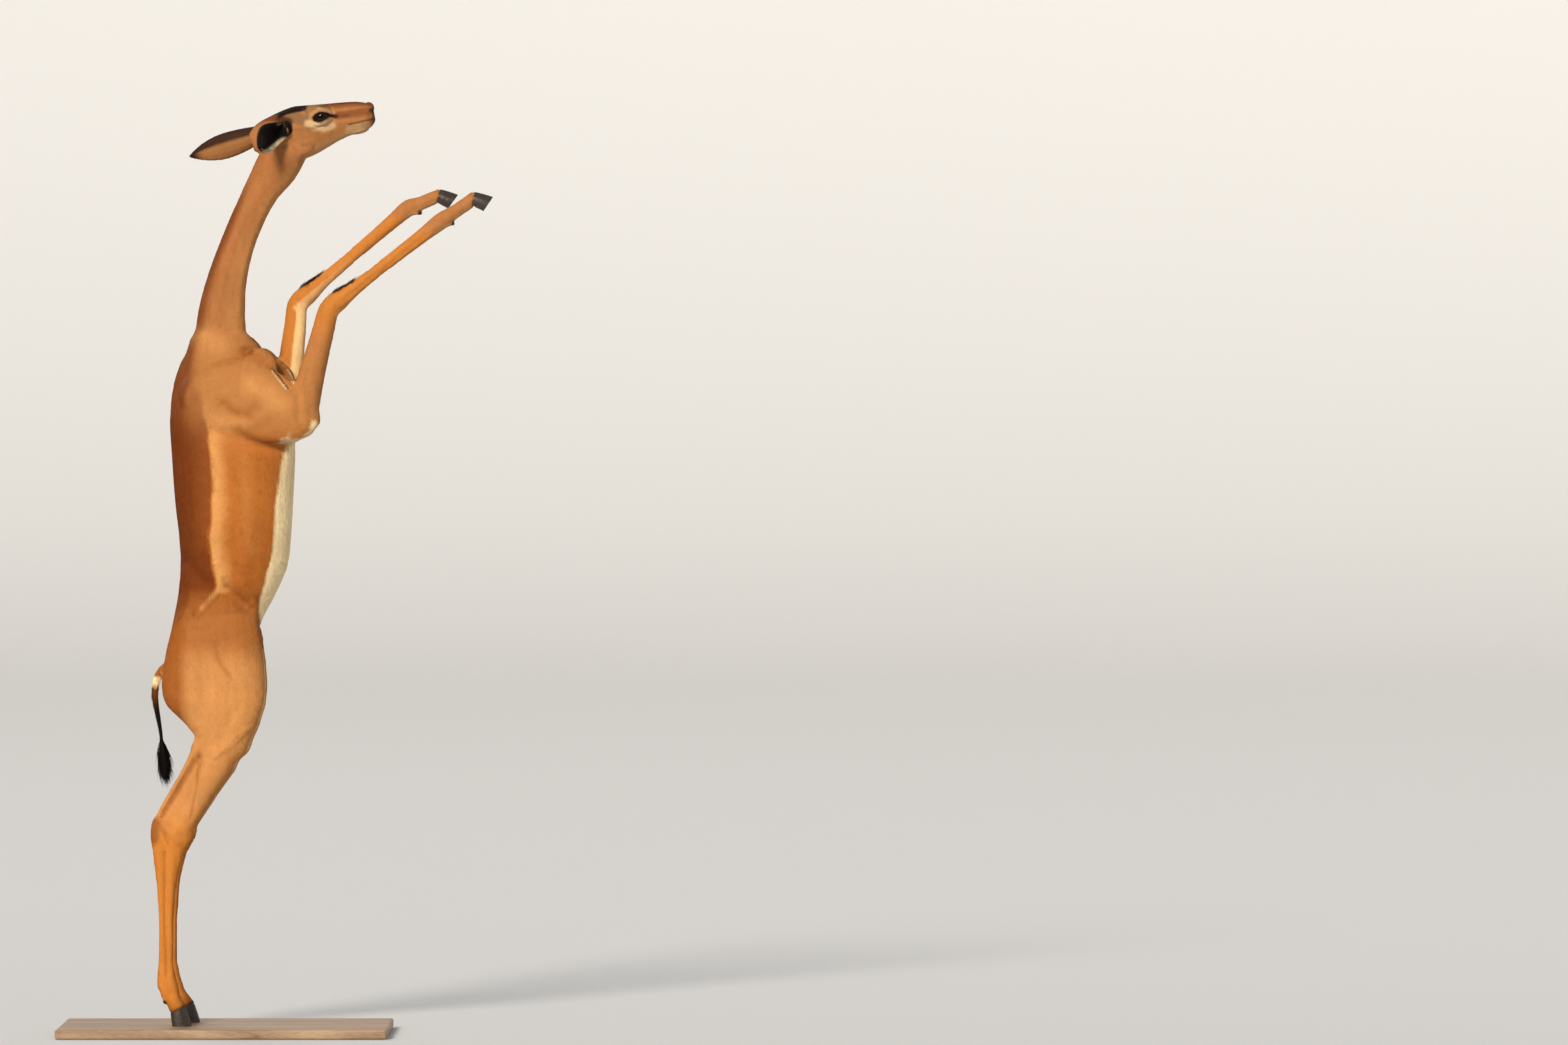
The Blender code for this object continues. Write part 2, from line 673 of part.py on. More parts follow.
def make_head():
    """The head with sockets, mouth and nostrils cut, and a flat face for each ear."""
    head = fused("head", skull_flesh(), HEAD_VOXEL, HEAD_SMOOTHING, HEAD_TRIANGLES)
    boolean(head, region([(HEAD_CUT[0], -Vector(HEAD_CUT[1]))], -GAP / 2), "INTERSECT")
    for name, side in SIDES.items():
        boolean(head, eye_opening(side), "DIFFERENCE")
        boolean(head, eyeball(name, EYE_RADIUS + GAP), "DIFFERENCE")
        nostril = blob("nostril", (0.3115, side * 0.0125, 1.9660), (0.0075, 0.0030, 0.0042), tilt=30)
        boolean(head, nostril, "DIFFERENCE")
        boolean(head, ear_leaf(name, GAP), "DIFFERENCE")
    half = [(x, y, z, MOUTH_DEPTH, MOUTH_GAP) for x, y, z in MOUTH]
    other = [(x, -y, z, MOUTH_DEPTH, MOUTH_GAP) for x, y, z in MOUTH[-2::-1]]
    slit = loft("mouth_line", half + other, sides=8, steps=2, lateral=(0, 0, 1))
    return boolean(head, slit, "DIFFERENCE")


def make_body():
    """All the flesh below the head as one smooth body."""
    pieces = trunk_and_neck()
    for name, side in SIDES.items():
        pieces += hind_leg(side)
        pieces += foreleg(side, FORELEGS[name][:4])
    return fused("torso", pieces, BODY_VOXEL, BODY_SMOOTHING, BODY_TRIANGLES)


def part_foreleg(body, name):
    """Upper arm, forearm and cannon of one foreleg, and its two claws."""
    side = SIDES[name]
    elbow, carpus, fetlock, coronet, angle = FORELEGS[name]
    outside = (0, -side, 0)
    planes = [
        ((ARM_CUT_X, 0, 0), (-1, 0, 0)),
        ((0, side * ARM_CUT_Y, 0), outside),
        ((ARM_CUT_X, 0, elbow[1] - 0.062), (0.30, 0, -0.95)),
    ]
    leg = part_off(body, f"foreleg_upper_{name}", planes)
    bone = Vector((carpus[0] - elbow[0], 0, carpus[1] - elbow[1])).normalized()
    shin = Vector((fetlock[0] - carpus[0], 0, fetlock[1] - carpus[1])).normalized()
    at_elbow = Vector((elbow[0], 0, elbow[1])) + bone * 0.078
    at_carpus = Vector((carpus[0], 0, carpus[1])) + shin * 0.012
    lower = part_off(leg, f"foreleg_cannon_{name}", [(at_carpus, -(bone + shin))])
    middle = part_off(leg, f"foreleg_forearm_{name}", [(at_elbow, -bone)])
    return [leg, middle, lower] + foot(lower, "fore", name, fetlock, coronet, side * ARM_PLACES[3], angle)


def part_hind_leg(body, name):
    """Thigh, second thigh and cannon of one hind leg, and its two claws."""
    side = SIDES[name]
    planes = [(HIP_CUT[0], -Vector(HIP_CUT[1])), ((0, side * GAP, 0), (0, -side, 0))]
    thigh = part_off(body, f"hindleg_thigh_{name}", planes)
    lower = part_off(thigh, f"hindleg_cannon_{name}", [(HOCK_CUT[0], -Vector(HOCK_CUT[1]))])
    middle = part_off(thigh, f"hindleg_gaskin_{name}", [(STIFLE_CUT[0], -Vector(STIFLE_CUT[1]))])
    forward = FAR_FOOT_FORWARD if side > 0 else 0.0
    coronet = (HIND_CORONET[0] + forward, HIND_CORONET[1])
    claws = foot(lower, "hind", name, HIND_FETLOCK, coronet, side * HIND_STANCE, HIND_PASTERN_ANGLE)
    return [thigh, middle, lower] + claws


def dewclaw(fetlock, coronet, place):
    """A small knob of horn behind the fetlock, over one claw."""
    down = Vector((coronet[0] - fetlock[0], 0, coronet[1] - fetlock[1])).normalized()
    back = Vector((down.z, 0, -down.x))
    root = Vector((fetlock[0], place, fetlock[1])) + down * 0.008 + back * 0.0135
    way = down * 0.0165 + back * 0.0085
    rows = [(*(root + way * share), size, size * 0.9) for share, size in DEWCLAW]
    return loft("dewclaw", rows, sides=6, steps=1)


def foot(leg, which, name, fetlock, coronet, place, angle):
    """Ends the leg flat at the coronet and sets two claws under it and two dewclaws behind."""
    frame = hoof_frame(coronet, place, angle)
    turn = math.radians(angle)
    down = Vector((math.cos(turn), 0, math.sin(turn)))
    seat = Vector((coronet[0], place, coronet[1]))
    boolean(leg, region([(seat - down * GAP, down)]), "INTERSECT")
    for toe in (-1, 1):
        boolean(leg, dewclaw(fetlock, coronet, place + toe * DEWCLAW_SPREAD), "UNION")
    height = HIND_CORONET[1] - SOLE
    size = FORE_HOOF_SIZE if which == "fore" else 1.0
    return [
        claw(f"hoof_{which}_{name}_{toe}", frame, way, height, size)
        for toe, way in (("inner", -math.copysign(1, place)), ("outer", math.copysign(1, place)))
    ]


def make_tail():
    """A thin tail that hangs clear of the rump, with its tuft of tapered locks."""
    tail = loft("tail", in_plane(TAIL, 0), sides=10, steps=2)
    rump = [((TAIL_CUT, 0, 0), (-1, 0, 0)), ((0, 0, TAIL_CUT_LOW), (0, 0, -1))]
    boolean(tail, region(rump, GAP), "DIFFERENCE")
    draw = random.Random(7)
    locks = bpy.data.collections.new("tuft_locks")
    bpy.context.scene.collection.children.link(locks)
    for i in range(TUFT_LOCKS):
        share = i / TUFT_LOCKS
        turn = math.radians(137.5) * i
        top = TUFT_TOP - 0.050 * share
        way = Vector((math.cos(turn), math.sin(turn), 0))
        root = Vector((-0.1335 + 0.03 * (TUFT_TOP - top), 0, top))
        spread = TUFT_SPREAD * (1 - 0.55 * share)
        length = TUFT_LENGTH * draw.uniform(0.82, 1.05) * (1 - 0.35 * share)
        rows = []
        for way_down, out, thick, wide in LOCK_SHAPE:
            point = root + way * spread * out - Vector((-0.08 * length * way_down, 0, length * way_down))
            rows.append((*point, thick, wide))
        lock = loft(f"lock_{i}", rows, sides=5, steps=1, lateral=Vector((0, 0, 1)).cross(way))
        bpy.context.scene.collection.objects.unlink(lock)
        locks.objects.link(lock)
    union = tail.modifiers.new("tuft", "BOOLEAN")
    union.operation = "UNION"
    union.operand_type = "COLLECTION"
    union.collection = locks
    union.solver = "EXACT"
    settled(tail)
    for lock in list(locks.objects):
        bpy.data.objects.remove(lock, do_unlink=True)
    bpy.data.collections.remove(locks)
    bm = bmesh.new()
    bm.from_mesh(tail.data)
    keep_largest(bm)
    bmesh.ops.triangulate(bm, faces=bm.faces[:])
    bm.to_mesh(tail.data)
    bm.free()
    return tail


def make_board():
    """The plain board that the hooves stand on, with eased edges."""
    bm = bmesh.new()
    bmesh.ops.create_cube(bm, size=1.0)
    size = Matrix.Diagonal((BOARD_LENGTH, BOARD_WIDTH, BOARD_THICKNESS, 1))
    bm.transform(Matrix.Translation((0, 0, BOARD_THICKNESS / 2)) @ size)
    board = new_object("stand_board", bm)
    ease = board.modifiers.new("ease", "BEVEL")
    ease.width = BOARD_EDGE
    ease.segments = 2
    return settled(board)


def dress(nodes, group):
    """Gives each node its finish and puts it in the model's collection."""
    finishes = (("hoof", "horn", 0.35), ("eye", "eye", 0.1), ("tail", "tuft", 0.6), ("stand", "board", 0.5))
    for node in nodes:
        finish, roughness = "coat", 0.7
        for start, named, rough in finishes:
            if node.name.startswith(start):
                finish, roughness = named, rough
        node.data.materials.clear()
        node.data.materials.append(material(finish, roughness))
        node.data.shade_smooth()
        node.data.set_sharp_from_angle(angle=math.radians(50))
        bpy.context.scene.collection.objects.unlink(node)
        group.objects.link(node)


def main():
    clear_scene()
    group = bpy.data.collections.new("gerenuk")
    bpy.context.scene.collection.children.link(group)
    head = make_head()
    torso = make_body()
    behind = [((TAIL_CUT, 0, 0), (1, 0, 0)), ((0, 0, TAIL_CUT_LOW), (0, 0, -1))]
    boolean(torso, region(behind), "DIFFERENCE")
    nodes = [head, torso, make_tail(), make_board()]
    for name in SIDES:
        nodes += part_foreleg(torso, name)
    crown_side = boolean(torso, region([(HEAD_CUT[0], HEAD_CUT[1])], -GAP / 2), "INTERSECT")
    nodes.append(part_off(crown_side, "neck", [(NECK_CUT[0], -Vector(NECK_CUT[1]))]))
    for name in SIDES:
        nodes += part_hind_leg(torso, name)
        nodes += [ear(name), eyeball(name, EYE_RADIUS)]
    dress(nodes, group)


main()
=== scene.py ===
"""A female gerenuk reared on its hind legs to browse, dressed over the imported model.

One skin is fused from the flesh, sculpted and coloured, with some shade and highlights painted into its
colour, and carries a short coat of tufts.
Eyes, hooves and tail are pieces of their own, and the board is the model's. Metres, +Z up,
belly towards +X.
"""

import functools
import math

import bmesh
import bpy
import numpy as np
from mathutils import Matrix, Vector
from mathutils.bvhtree import BVHTree


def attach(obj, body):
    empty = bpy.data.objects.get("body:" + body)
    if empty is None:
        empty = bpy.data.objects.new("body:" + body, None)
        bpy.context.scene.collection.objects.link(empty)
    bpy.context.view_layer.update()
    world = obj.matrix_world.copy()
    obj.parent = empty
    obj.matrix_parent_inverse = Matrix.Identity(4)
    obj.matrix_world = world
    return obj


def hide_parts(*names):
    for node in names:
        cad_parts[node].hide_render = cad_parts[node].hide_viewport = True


bl_info = {
    "name": "Reared Gerenuk",
    "version": (1, 0, 0),
    "blender": (4, 5, 0),
    "location": "View3D > Sidebar > Gerenuk",
    "description": "Skin, coat, eyes, hooves, tail and board of a gerenuk that browses on its hind legs",
    "category": "Object",
}

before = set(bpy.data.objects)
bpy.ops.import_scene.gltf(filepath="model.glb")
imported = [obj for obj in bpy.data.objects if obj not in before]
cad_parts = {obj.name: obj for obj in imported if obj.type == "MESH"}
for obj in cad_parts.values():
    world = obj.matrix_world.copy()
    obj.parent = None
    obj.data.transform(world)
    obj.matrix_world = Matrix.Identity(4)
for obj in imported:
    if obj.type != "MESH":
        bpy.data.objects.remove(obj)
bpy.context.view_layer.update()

SIDES = {"right": -1, "left": 1}
PHOTO_WIDTH = 1568

FLESH = ["torso", "neck"]
for which in SIDES:
    FLESH += [f"foreleg_{part}_{which}" for part in ("upper", "forearm", "cannon")]
    FLESH += [f"hindleg_{part}_{which}" for part in ("thigh", "gaskin", "cannon")]
HEAD_FLESH = ["head", "neck", "ear_right", "ear_left"]
HOOVES = [
    f"hoof_{end}_{which}_{toe}"
    for end in ("fore", "hind")
    for which in SIDES
    for toe in ("inner", "outer")
]

# Where the two halves of the skin meet, high on the neck, and the way up the neck there
NECK_SEAM = (0.066, 0, 1.757)
NECK_WAY = (0.45, 0, 0.893)

# Gap left at the seam, how far from it the join is smoothed, and how often
SEAM_GAP, SEAM_REACH, SEAM_ROUNDS = 0.0025, 0.014, 8
# How much the shapes grow before they are joined, rounds of smoothing, and share of the faces kept
BODY_GROWTH, BODY_ROUNDS, BODY_SHARE = 0.00035, 34, 0.58
HEAD_GROWTH, HEAD_ROUNDS, HEAD_SHARE = 0.00025, 4, 0.48

FORE_JOINTS = {
    "right": ((0.160, 1.298), (0.2245, 1.544), (0.460, 1.727), (0.531, 1.7755)),
    "left": ((0.122, 1.302), (0.1515, 1.556), (0.386, 1.7565), (0.453, 1.7835)),
}
FORE_PLACES = (0.085, 0.080, 0.070, 0.067)
EARS = {
    "right": ((0.1305, -0.038, 1.9245), (-0.31, -0.92, -0.24), (0.86, -0.30, 0.12)),
    "left": ((0.090, 0.036, 1.9215), (-0.950, 0.14, -0.305), (0.10, 0.95, 0.25)),
}
EAR_SIZES = {"right": (0.166, 0.95), "left": (0.178, 0.88)}
EAR_WIDTHS = (
    (0, 0.0205),
    (0.10, 0.0205),
    (0.26, 0.0270),
    (0.44, 0.0315),
    (0.62, 0.0310),
    (0.80, 0.0225),
    (0.93, 0.0110),
    (1, 0.0040),
)
# Depth of the ear's cup, reach of its bottom, and girth and hair length of the ear
EAR_HOLLOW, EAR_BOTTOM = 0.012, 0.0178
EAR_HAIR = (0.020, 0.0040)
EYE_PLACE = (0.2065, 0.0335, 1.9500)
EYE_RADIUS = 0.0168
EYE_OPENING = (0.0142, 0.0064)
EYE_TILT = math.radians(14)
LID_THICKNESS = 0.0013
# How much the almond narrows towards the nose, how far it is cut, and its place off the eye's middle
LID_PINCH, LID_REACH = 0.42, 0.03
LID_SHIFT = (-0.0004, 0.004, -0.0006)
# Dark lids and pale ring round the eye: half length, half height, softness
LID_RING = (0.0200, 0.0112, 0.35)
PALE_RING = (0.0290, 0.0190, 0.30)
TAIL = (
    (-0.128, 0.776, 0.0105),
    (-0.1395, 0.768, 0.0095),
    (-0.1485, 0.750, 0.0080),
    (-0.1505, 0.720, 0.0064),
    (-0.1444, 0.685, 0.0046),
    (-0.1379, 0.650, 0.0034),
    (-0.1344, 0.615, 0.0030),
    (-0.1325, 0.580, 0.0024),
)
TAIL_TUFT_TOP, TAIL_TUFT_SPAN = 0.626, 0.050
STALK_HAIRS = 1500
STALK_HAIR_TOP, STALK_HAIR_SPAN = 0.780, 0.158

# Lengths of the body: start, end, girth, hair length; hair lies from start to end
TRUNK_BONES = (
    ((0.318, 0, 1.956), (0.205, 0, 1.935), 0.032, 0.0034),
    ((0.205, 0, 1.935), (0.085, 0, 1.905), 0.045, 0.0046),
    ((0.112, 0, 1.880), (0.0265, 0, 1.680), 0.036, 0.0062),
    ((0.0265, 0, 1.680), (-0.010, 0, 1.500), 0.045, 0.0072),
    ((-0.012, 0, 1.500), (0.010, 0, 1.330), 0.075, 0.0082),
    ((0.015, 0, 1.330), (0.022, 0, 1.080), 0.100, 0.0090),
    ((0.022, 0, 1.080), (0.000, 0, 0.900), 0.095, 0.0090),
    ((-0.030, 0, 0.900), (-0.075, 0, 0.700), 0.085, 0.0086),
)
# Feet: fetlock and coronet in side view, place across, end of the animal
FEET = tuple(
    (*FORE_JOINTS[name][2:], side * FORE_PLACES[3], "fore") for name, side in SIDES.items()
) + (
    ((-0.1175, 0.098), (-0.0975, 0.056), -0.078, "hind"),
    ((-0.1175, 0.098), (-0.0875, 0.056), 0.078, "hind"),
)
# Lengths of the left hind leg in the same way
HIND_BONES = (
    ((-0.020, 0.050, 0.880), (0.000, 0.072, 0.660), 0.060, 0.0082),
    ((0.010, 0.076, 0.640), (-0.100, 0.078, 0.440), 0.036, 0.0066),
    ((-0.112, 0.078, 0.420), (-0.120, 0.078, 0.110), 0.018, 0.0048),
    ((-0.118, 0.078, 0.110), (-0.096, 0.078, 0.055), 0.018, 0.0042),
)
# Girth and hair length of the three lengths of a foreleg
FORE_SIZES = ((0.028, 0.0064), (0.015, 0.0046), (0.016, 0.0040))
# Where the shoulder starts, and its girth and hair length
SHOULDER = (-0.095, 0.040, 1.450)
SHOULDER_SIZES = (0.050, 0.0080)

# Edge of the dark saddle, of the white belly and of the foreleg in side view: height, x
SADDLE_EDGE = (
    (0.900, -0.150),
    (0.930, -0.030),
    (0.949, -0.016),
    (0.988, -0.022),
    (1.053, -0.0285),
    (1.119, -0.026),
    (1.184, -0.026),
    (1.250, -0.033),
    (1.300, -0.0395),
    (1.360, -0.050),
    (1.439, -0.085),
    (1.520, -0.078),
    (1.700, 0.005),
    (1.800, 0.050),
)
BELLY_EDGE = (
    (0.780, 0.085),
    (0.860, 0.078),
    (0.901, 0.071),
    (0.932, 0.074),
    (0.967, 0.087),
    (1.010, 0.095),
    (1.075, 0.102),
    (1.140, 0.108),
    (1.205, 0.117),
    (1.260, 0.128),
    (1.330, 0.150),
)
FORELEG_EDGE = ((1.2, 0.125), (1.30, 0.130), (1.42, 0.115), (1.50, 0.090), (1.60, 0.090))
# Darkest and brightest tone of the coat
DARKEST, BRIGHTEST = 0.002, 0.95
# Knee brush: start and end down the shin from the carpus, how far in front of it, and radius
KNEE_BRUSH_SPAN, KNEE_BRUSH_FRONT, KNEE_BRUSH_RADIUS = (0.028, 0.070), 0.025, 0.0150
# Dewclaws: root across, down and back from the fetlock, way down and back, and radius of the horn
DEWCLAW_ROOT = (0.0088, 0.008, 0.0135)
DEWCLAW_WAY, DEWCLAW_RADIUS = (0.0165, 0.0085), 0.0085

# Forms raised or sunk in the flesh, drawn on the side of the animal: side (0 both), radius, height, line
FORMS = (
    # loin, hip bone and flank fold
    (0, 0.0170, -0.0060, ((-0.092, 1.010), (-0.066, 0.978), (-0.046, 0.958), (-0.022, 0.955))),
    (
        0, 0.0100, 0.0050,
        ((-0.016, 1.010), (-0.006, 0.978), (-0.014, 0.946), (-0.040, 0.914), (-0.062, 0.888)),
    ),
    (0, 0.0110, -0.0060, ((0.004, 0.958), (0.028, 0.934), (0.056, 0.912))),
    (0, 0.0110, 0.0040, ((0.034, 0.962), (0.064, 0.934), (0.070, 0.892), (0.082, 0.833))),
    (0, 0.0200, -0.0035, ((0.020, 1.060), (0.050, 1.010), (0.066, 0.970))),
    # thigh and knee
    (0, 0.0110, -0.0038, ((-0.024, 0.830), (-0.008, 0.790), (0.016, 0.758))),
    (0, 0.0260, 0.0030, ((0.030, 0.850), (0.048, 0.790), (0.044, 0.730))),
    (0, 0.0050, 0.0020, ((-0.017, 0.590), (0.019, 0.629), (0.049, 0.654))),
    (0, 0.0050, 0.0018, ((0.002, 0.603), (0.032, 0.629), (0.057, 0.654))),
    (0, 0.0300, 0.0040, ((-0.078, 0.810), (-0.082, 0.730))),
    (0, 0.0180, -0.0042, ((-0.052, 0.870), (-0.036, 0.740), (-0.048, 0.660))),
    (0, 0.0120, -0.0030, ((0.030, 0.700), (0.010, 0.660), (-0.006, 0.620))),
    # second thigh and hock
    (0, 0.0070, -0.0052, ((-0.052, 0.594), (-0.074, 0.556), (-0.102, 0.508), (-0.130, 0.466))),
    (0, 0.0055, 0.0020, ((-0.068, 0.592), (-0.113, 0.514), (-0.149, 0.454))),
    (0, 0.0060, -0.0018, ((-0.052, 0.600), (-0.056, 0.531), (-0.070, 0.460))),
    (0, 0.0150, 0.0026, ((-0.028, 0.590), (-0.048, 0.540))),
    (0, 0.0080, 0.0024, ((-0.124, 0.440), (-0.106, 0.425), (-0.092, 0.405))),
    (0, 0.0060, -0.0022, ((-0.138, 0.452), (-0.126, 0.430), (-0.118, 0.410))),
    (0, 0.0042, -0.0030, ((-0.124, 0.392), (-0.126, 0.254), (-0.121, 0.126))),
    (0, 0.0050, 0.0018, ((-0.137, 0.400), (-0.136, 0.250), (-0.137, 0.130))),
    (0, 0.0050, 0.0012, ((-0.108, 0.380), (-0.112, 0.250), (-0.106, 0.130))),
    (0, 0.0050, -0.0016, ((-0.128, 0.112), (-0.112, 0.084))),
    # neck and chest
    (0, 0.0110, -0.0018, ((0.079, 1.797), (0.043, 1.701), (0.019, 1.594), (0.013, 1.531), (0.028, 1.492))),
    (0, 0.0140, 0.0018, ((0.060, 1.780), (0.018, 1.680), (-0.010, 1.590), (-0.018, 1.510))),
    (0, 0.0080, 0.0008, ((0.096, 1.790), (0.062, 1.700), (0.034, 1.600), (0.030, 1.530))),
    (0, 0.0095, -0.0062, ((0.040, 1.452), (0.066, 1.442), (0.091, 1.426))),
    (0, 0.0080, 0.0034, ((0.032, 1.468), (0.066, 1.463), (0.091, 1.450), (0.121, 1.424))),
    (0, 0.0090, -0.0030, ((-0.012, 1.424), (0.010, 1.433), (0.032, 1.430))),
    (0, 0.0060, 0.0014, ((0.043, 1.446), (0.051, 1.418))),
    # shoulder blade and upper arm
    (0, 0.0260, 0.0022, ((-0.060, 1.392), (-0.020, 1.395), (0.040, 1.402))),
    (0, 0.0130, -0.0044, ((-0.010, 1.344), (0.020, 1.318), (0.052, 1.314), (0.078, 1.328))),
    (0, 0.0130, 0.0030, ((-0.011, 1.300), (0.040, 1.292), (0.100, 1.318))),
    (0, 0.0130, -0.0055, ((-0.034, 1.286), (0.006, 1.268), (0.050, 1.258), (0.090, 1.246), (0.140, 1.250))),
    (0, 0.0200, 0.0030, ((0.060, 1.372), (0.100, 1.350), (0.118, 1.310))),
    (0, 0.0045, -0.0032, ((0.101, 1.420), (0.119, 1.397), (0.140, 1.371))),
    (0, 0.0080, -0.0020, ((0.160, 1.372), (0.162, 1.301))),
    # forearms and fore cannons, each side on its own joints
    (-1, 0.0060, -0.0028, ((0.206, 1.520), (0.186, 1.440), (0.176, 1.390))),
    (1, 0.0060, -0.0028, ((0.149, 1.520), (0.138, 1.440), (0.134, 1.390))),
    (-1, 0.0130, 0.0020, ((0.178, 1.450), (0.172, 1.400))),
    (-1, 0.0036, -0.0022, ((0.255, 1.560), (0.340, 1.627), (0.432, 1.700))),
    (1, 0.0036, -0.0022, ((0.198, 1.597), (0.277, 1.669), (0.362, 1.724))),
    (-1, 0.0070, 0.0016, ((0.224, 1.546), (0.244, 1.560))),
    (1, 0.0070, 0.0016, ((0.164, 1.552), (0.184, 1.570))),
)
# How far a form reaches in radii, and how much of its height it has at its ends
FORM_REACH, FORM_END = 3.0, 0.45

# Joins that are evened out: middle, reach
SOFT_JOINS = (
    ((-0.072, 0.000, 1.482), 0.055),
    ((0.072, 0.000, 1.468), 0.046),
    ((-0.072, 0.060, 1.385), 0.062),
    ((-0.058, 0.085, 1.340), 0.046),
    ((0.048, 0.085, 0.608), 0.058),
    ((0.048, 0.050, 0.608), 0.058),
)
JOIN_ROUNDS = 46

# Ribs: height of the first, step down to the next, how many, size and line
RIB_TOP, RIB_STEP, RIB_COUNT = 1.235, 0.036, 8
RIB_RADIUS, RIB_HEIGHT = 0.0085, 0.0005
RIB_LINE = ((-0.055, 0.012), (0.000, 0), (0.045, -0.018), (0.085, -0.045))

# Forms of the face, finer: radius, height, line
FACE_FORMS = (
    (0.0052, -0.0014, ((0.145, 1.899), (0.166, 1.886), (0.196, 1.890))),
    (0.0042, 0.0010, ((0.194, 1.922), (0.232, 1.937), (0.270, 1.943))),
    (0.0046, -0.0022, ((0.232, 1.951), (0.246, 1.953))),
    (0.0032, 0.0013, ((0.179, 1.954), (0.187, 1.965), (0.206, 1.970), (0.228, 1.961))),
    (0.0026, 0.0010, ((0.181, 1.939), (0.194, 1.933), (0.209, 1.933), (0.228, 1.942))),
    (0.0024, -0.0009, ((0.183, 1.934), (0.200, 1.928), (0.222, 1.933))),
    (0.0036, -0.0010, ((0.262, 1.955), (0.290, 1.958))),
    (0.0030, 0.0007, ((0.238, 1.962), (0.270, 1.967), (0.296, 1.969))),
    (0.0022, -0.0012, ((0.2600, 1.9335), (0.2740, 1.9360), (0.2900, 1.9395), (0.3050, 1.9435))),
)

# Marks drawn on both sides, coat markings and painted shade and highlights on the forms: colour, radius,
# softness, strength, line
MARKS = (
    ("band", 0.0200, 0.0500, 0.40, ((-0.045, 1.482), (-0.010, 1.470))),
    # Painted highlights along the raised forms of the shoulder and the upper arm
    ("band", 0.0160, 0.0460, 0.45, ((0.058, 1.380), (0.094, 1.366), (0.120, 1.340))),
    ("band", 0.0100, 0.0500, 0.40, ((0.000, 1.300), (0.040, 1.296))),
    # Streaks down the flank, white at the elbow and the dark point of the hock
    ("band", 0.0060, 0.0420, 0.25, ((0.046, 1.230), (0.052, 1.120), (0.060, 1.030))),
    ("saddle", 0.0060, 0.0340, 0.30, ((0.070, 1.100), (0.058, 1.000), (0.050, 0.960))),
    (
        "belly", 0.0065, 0.0080, 0.85,
        ((0.124, 1.262), (0.150, 1.259), (0.170, 1.264), (0.188, 1.280), (0.193, 1.300)),
    ),
    ("hock", 0.0130, 0.0120, 0.75, ((-0.148, 0.452), (-0.150, 0.420))),
    # Saddle tone deepened in the hollow of the loin: partly the saddle's own colour, partly painted shade
    ("saddle", 0.0120, 0.0160, 0.60, ((-0.080, 0.985), (-0.060, 0.960), (-0.022, 0.950))),
    # Pale band carried down the ridge of the hip bone: partly the band's own tone, partly painted highlight
    ("band", 0.0034, 0.0130, 0.60, ((-0.012, 0.985), (-0.006, 0.960), (-0.018, 0.938), (-0.046, 0.908))),
    # Painted shade in the fold of the flank
    ("saddle", 0.0040, 0.0120, 0.55, ((0.004, 0.958), (0.034, 0.934), (0.058, 0.912))),
    # Saddle tone reaching a little lower behind the hip bone
    ("saddle", 0.0100, 0.0200, 0.35, ((-0.060, 0.935), (-0.040, 0.926))),
    # Painted shade in the hollows of the shoulder and under the upper arm
    ("rump", 0.0080, 0.0200, 0.60, ((0.041, 1.452), (0.066, 1.442), (0.091, 1.424))),
    ("rump", 0.0060, 0.0200, 0.40, ((-0.008, 1.427), (0.027, 1.438))),
    ("rump", 0.0070, 0.0240, 0.55, ((0.000, 1.344), (0.030, 1.322), (0.058, 1.315))),
    ("rump", 0.0080, 0.0240, 0.60, ((0.030, 1.288), (0.079, 1.262), (0.134, 1.257))),
    # Painted shade in the grooves of the thigh, the second thigh, the hock and the hind cannon
    ("rump", 0.0040, 0.0120, 0.50, ((-0.020, 0.828), (-0.006, 0.790), (0.016, 0.760))),
    ("rump", 0.0030, 0.0080, 0.70, ((-0.052, 0.594), (-0.074, 0.556), (-0.102, 0.508), (-0.130, 0.466))),
    ("rump", 0.0020, 0.0060, 0.60, ((-0.052, 0.600), (-0.056, 0.531), (-0.070, 0.460))),
    ("rump", 0.0030, 0.0080, 0.60, ((-0.138, 0.452), (-0.126, 0.430), (-0.118, 0.410))),
    ("rump", 0.0020, 0.0050, 0.60, ((-0.124, 0.392), (-0.126, 0.254), (-0.121, 0.126))),
    # Pale strips beside the slit where the forearm leaves the chest
    ("belly", 0.0014, 0.0034, 0.60, ((0.1022, 1.4105), (0.1178, 1.3912), (0.1357, 1.3708))),
    ("belly", 0.0014, 0.0030, 0.60, ((0.133, 1.414), (0.142, 1.400), (0.149, 1.384))),
    # Painted shade in that slit, in the near-black of the knee brush
    ("knee", 0.0016, 0.0020, 0.90, ((0.1028, 1.417), (0.119, 1.398), (0.140, 1.370))),
    ("knee", 0.0034, 0.0030, 0.80, ((0.142, 1.411), (0.152, 1.392))),
)
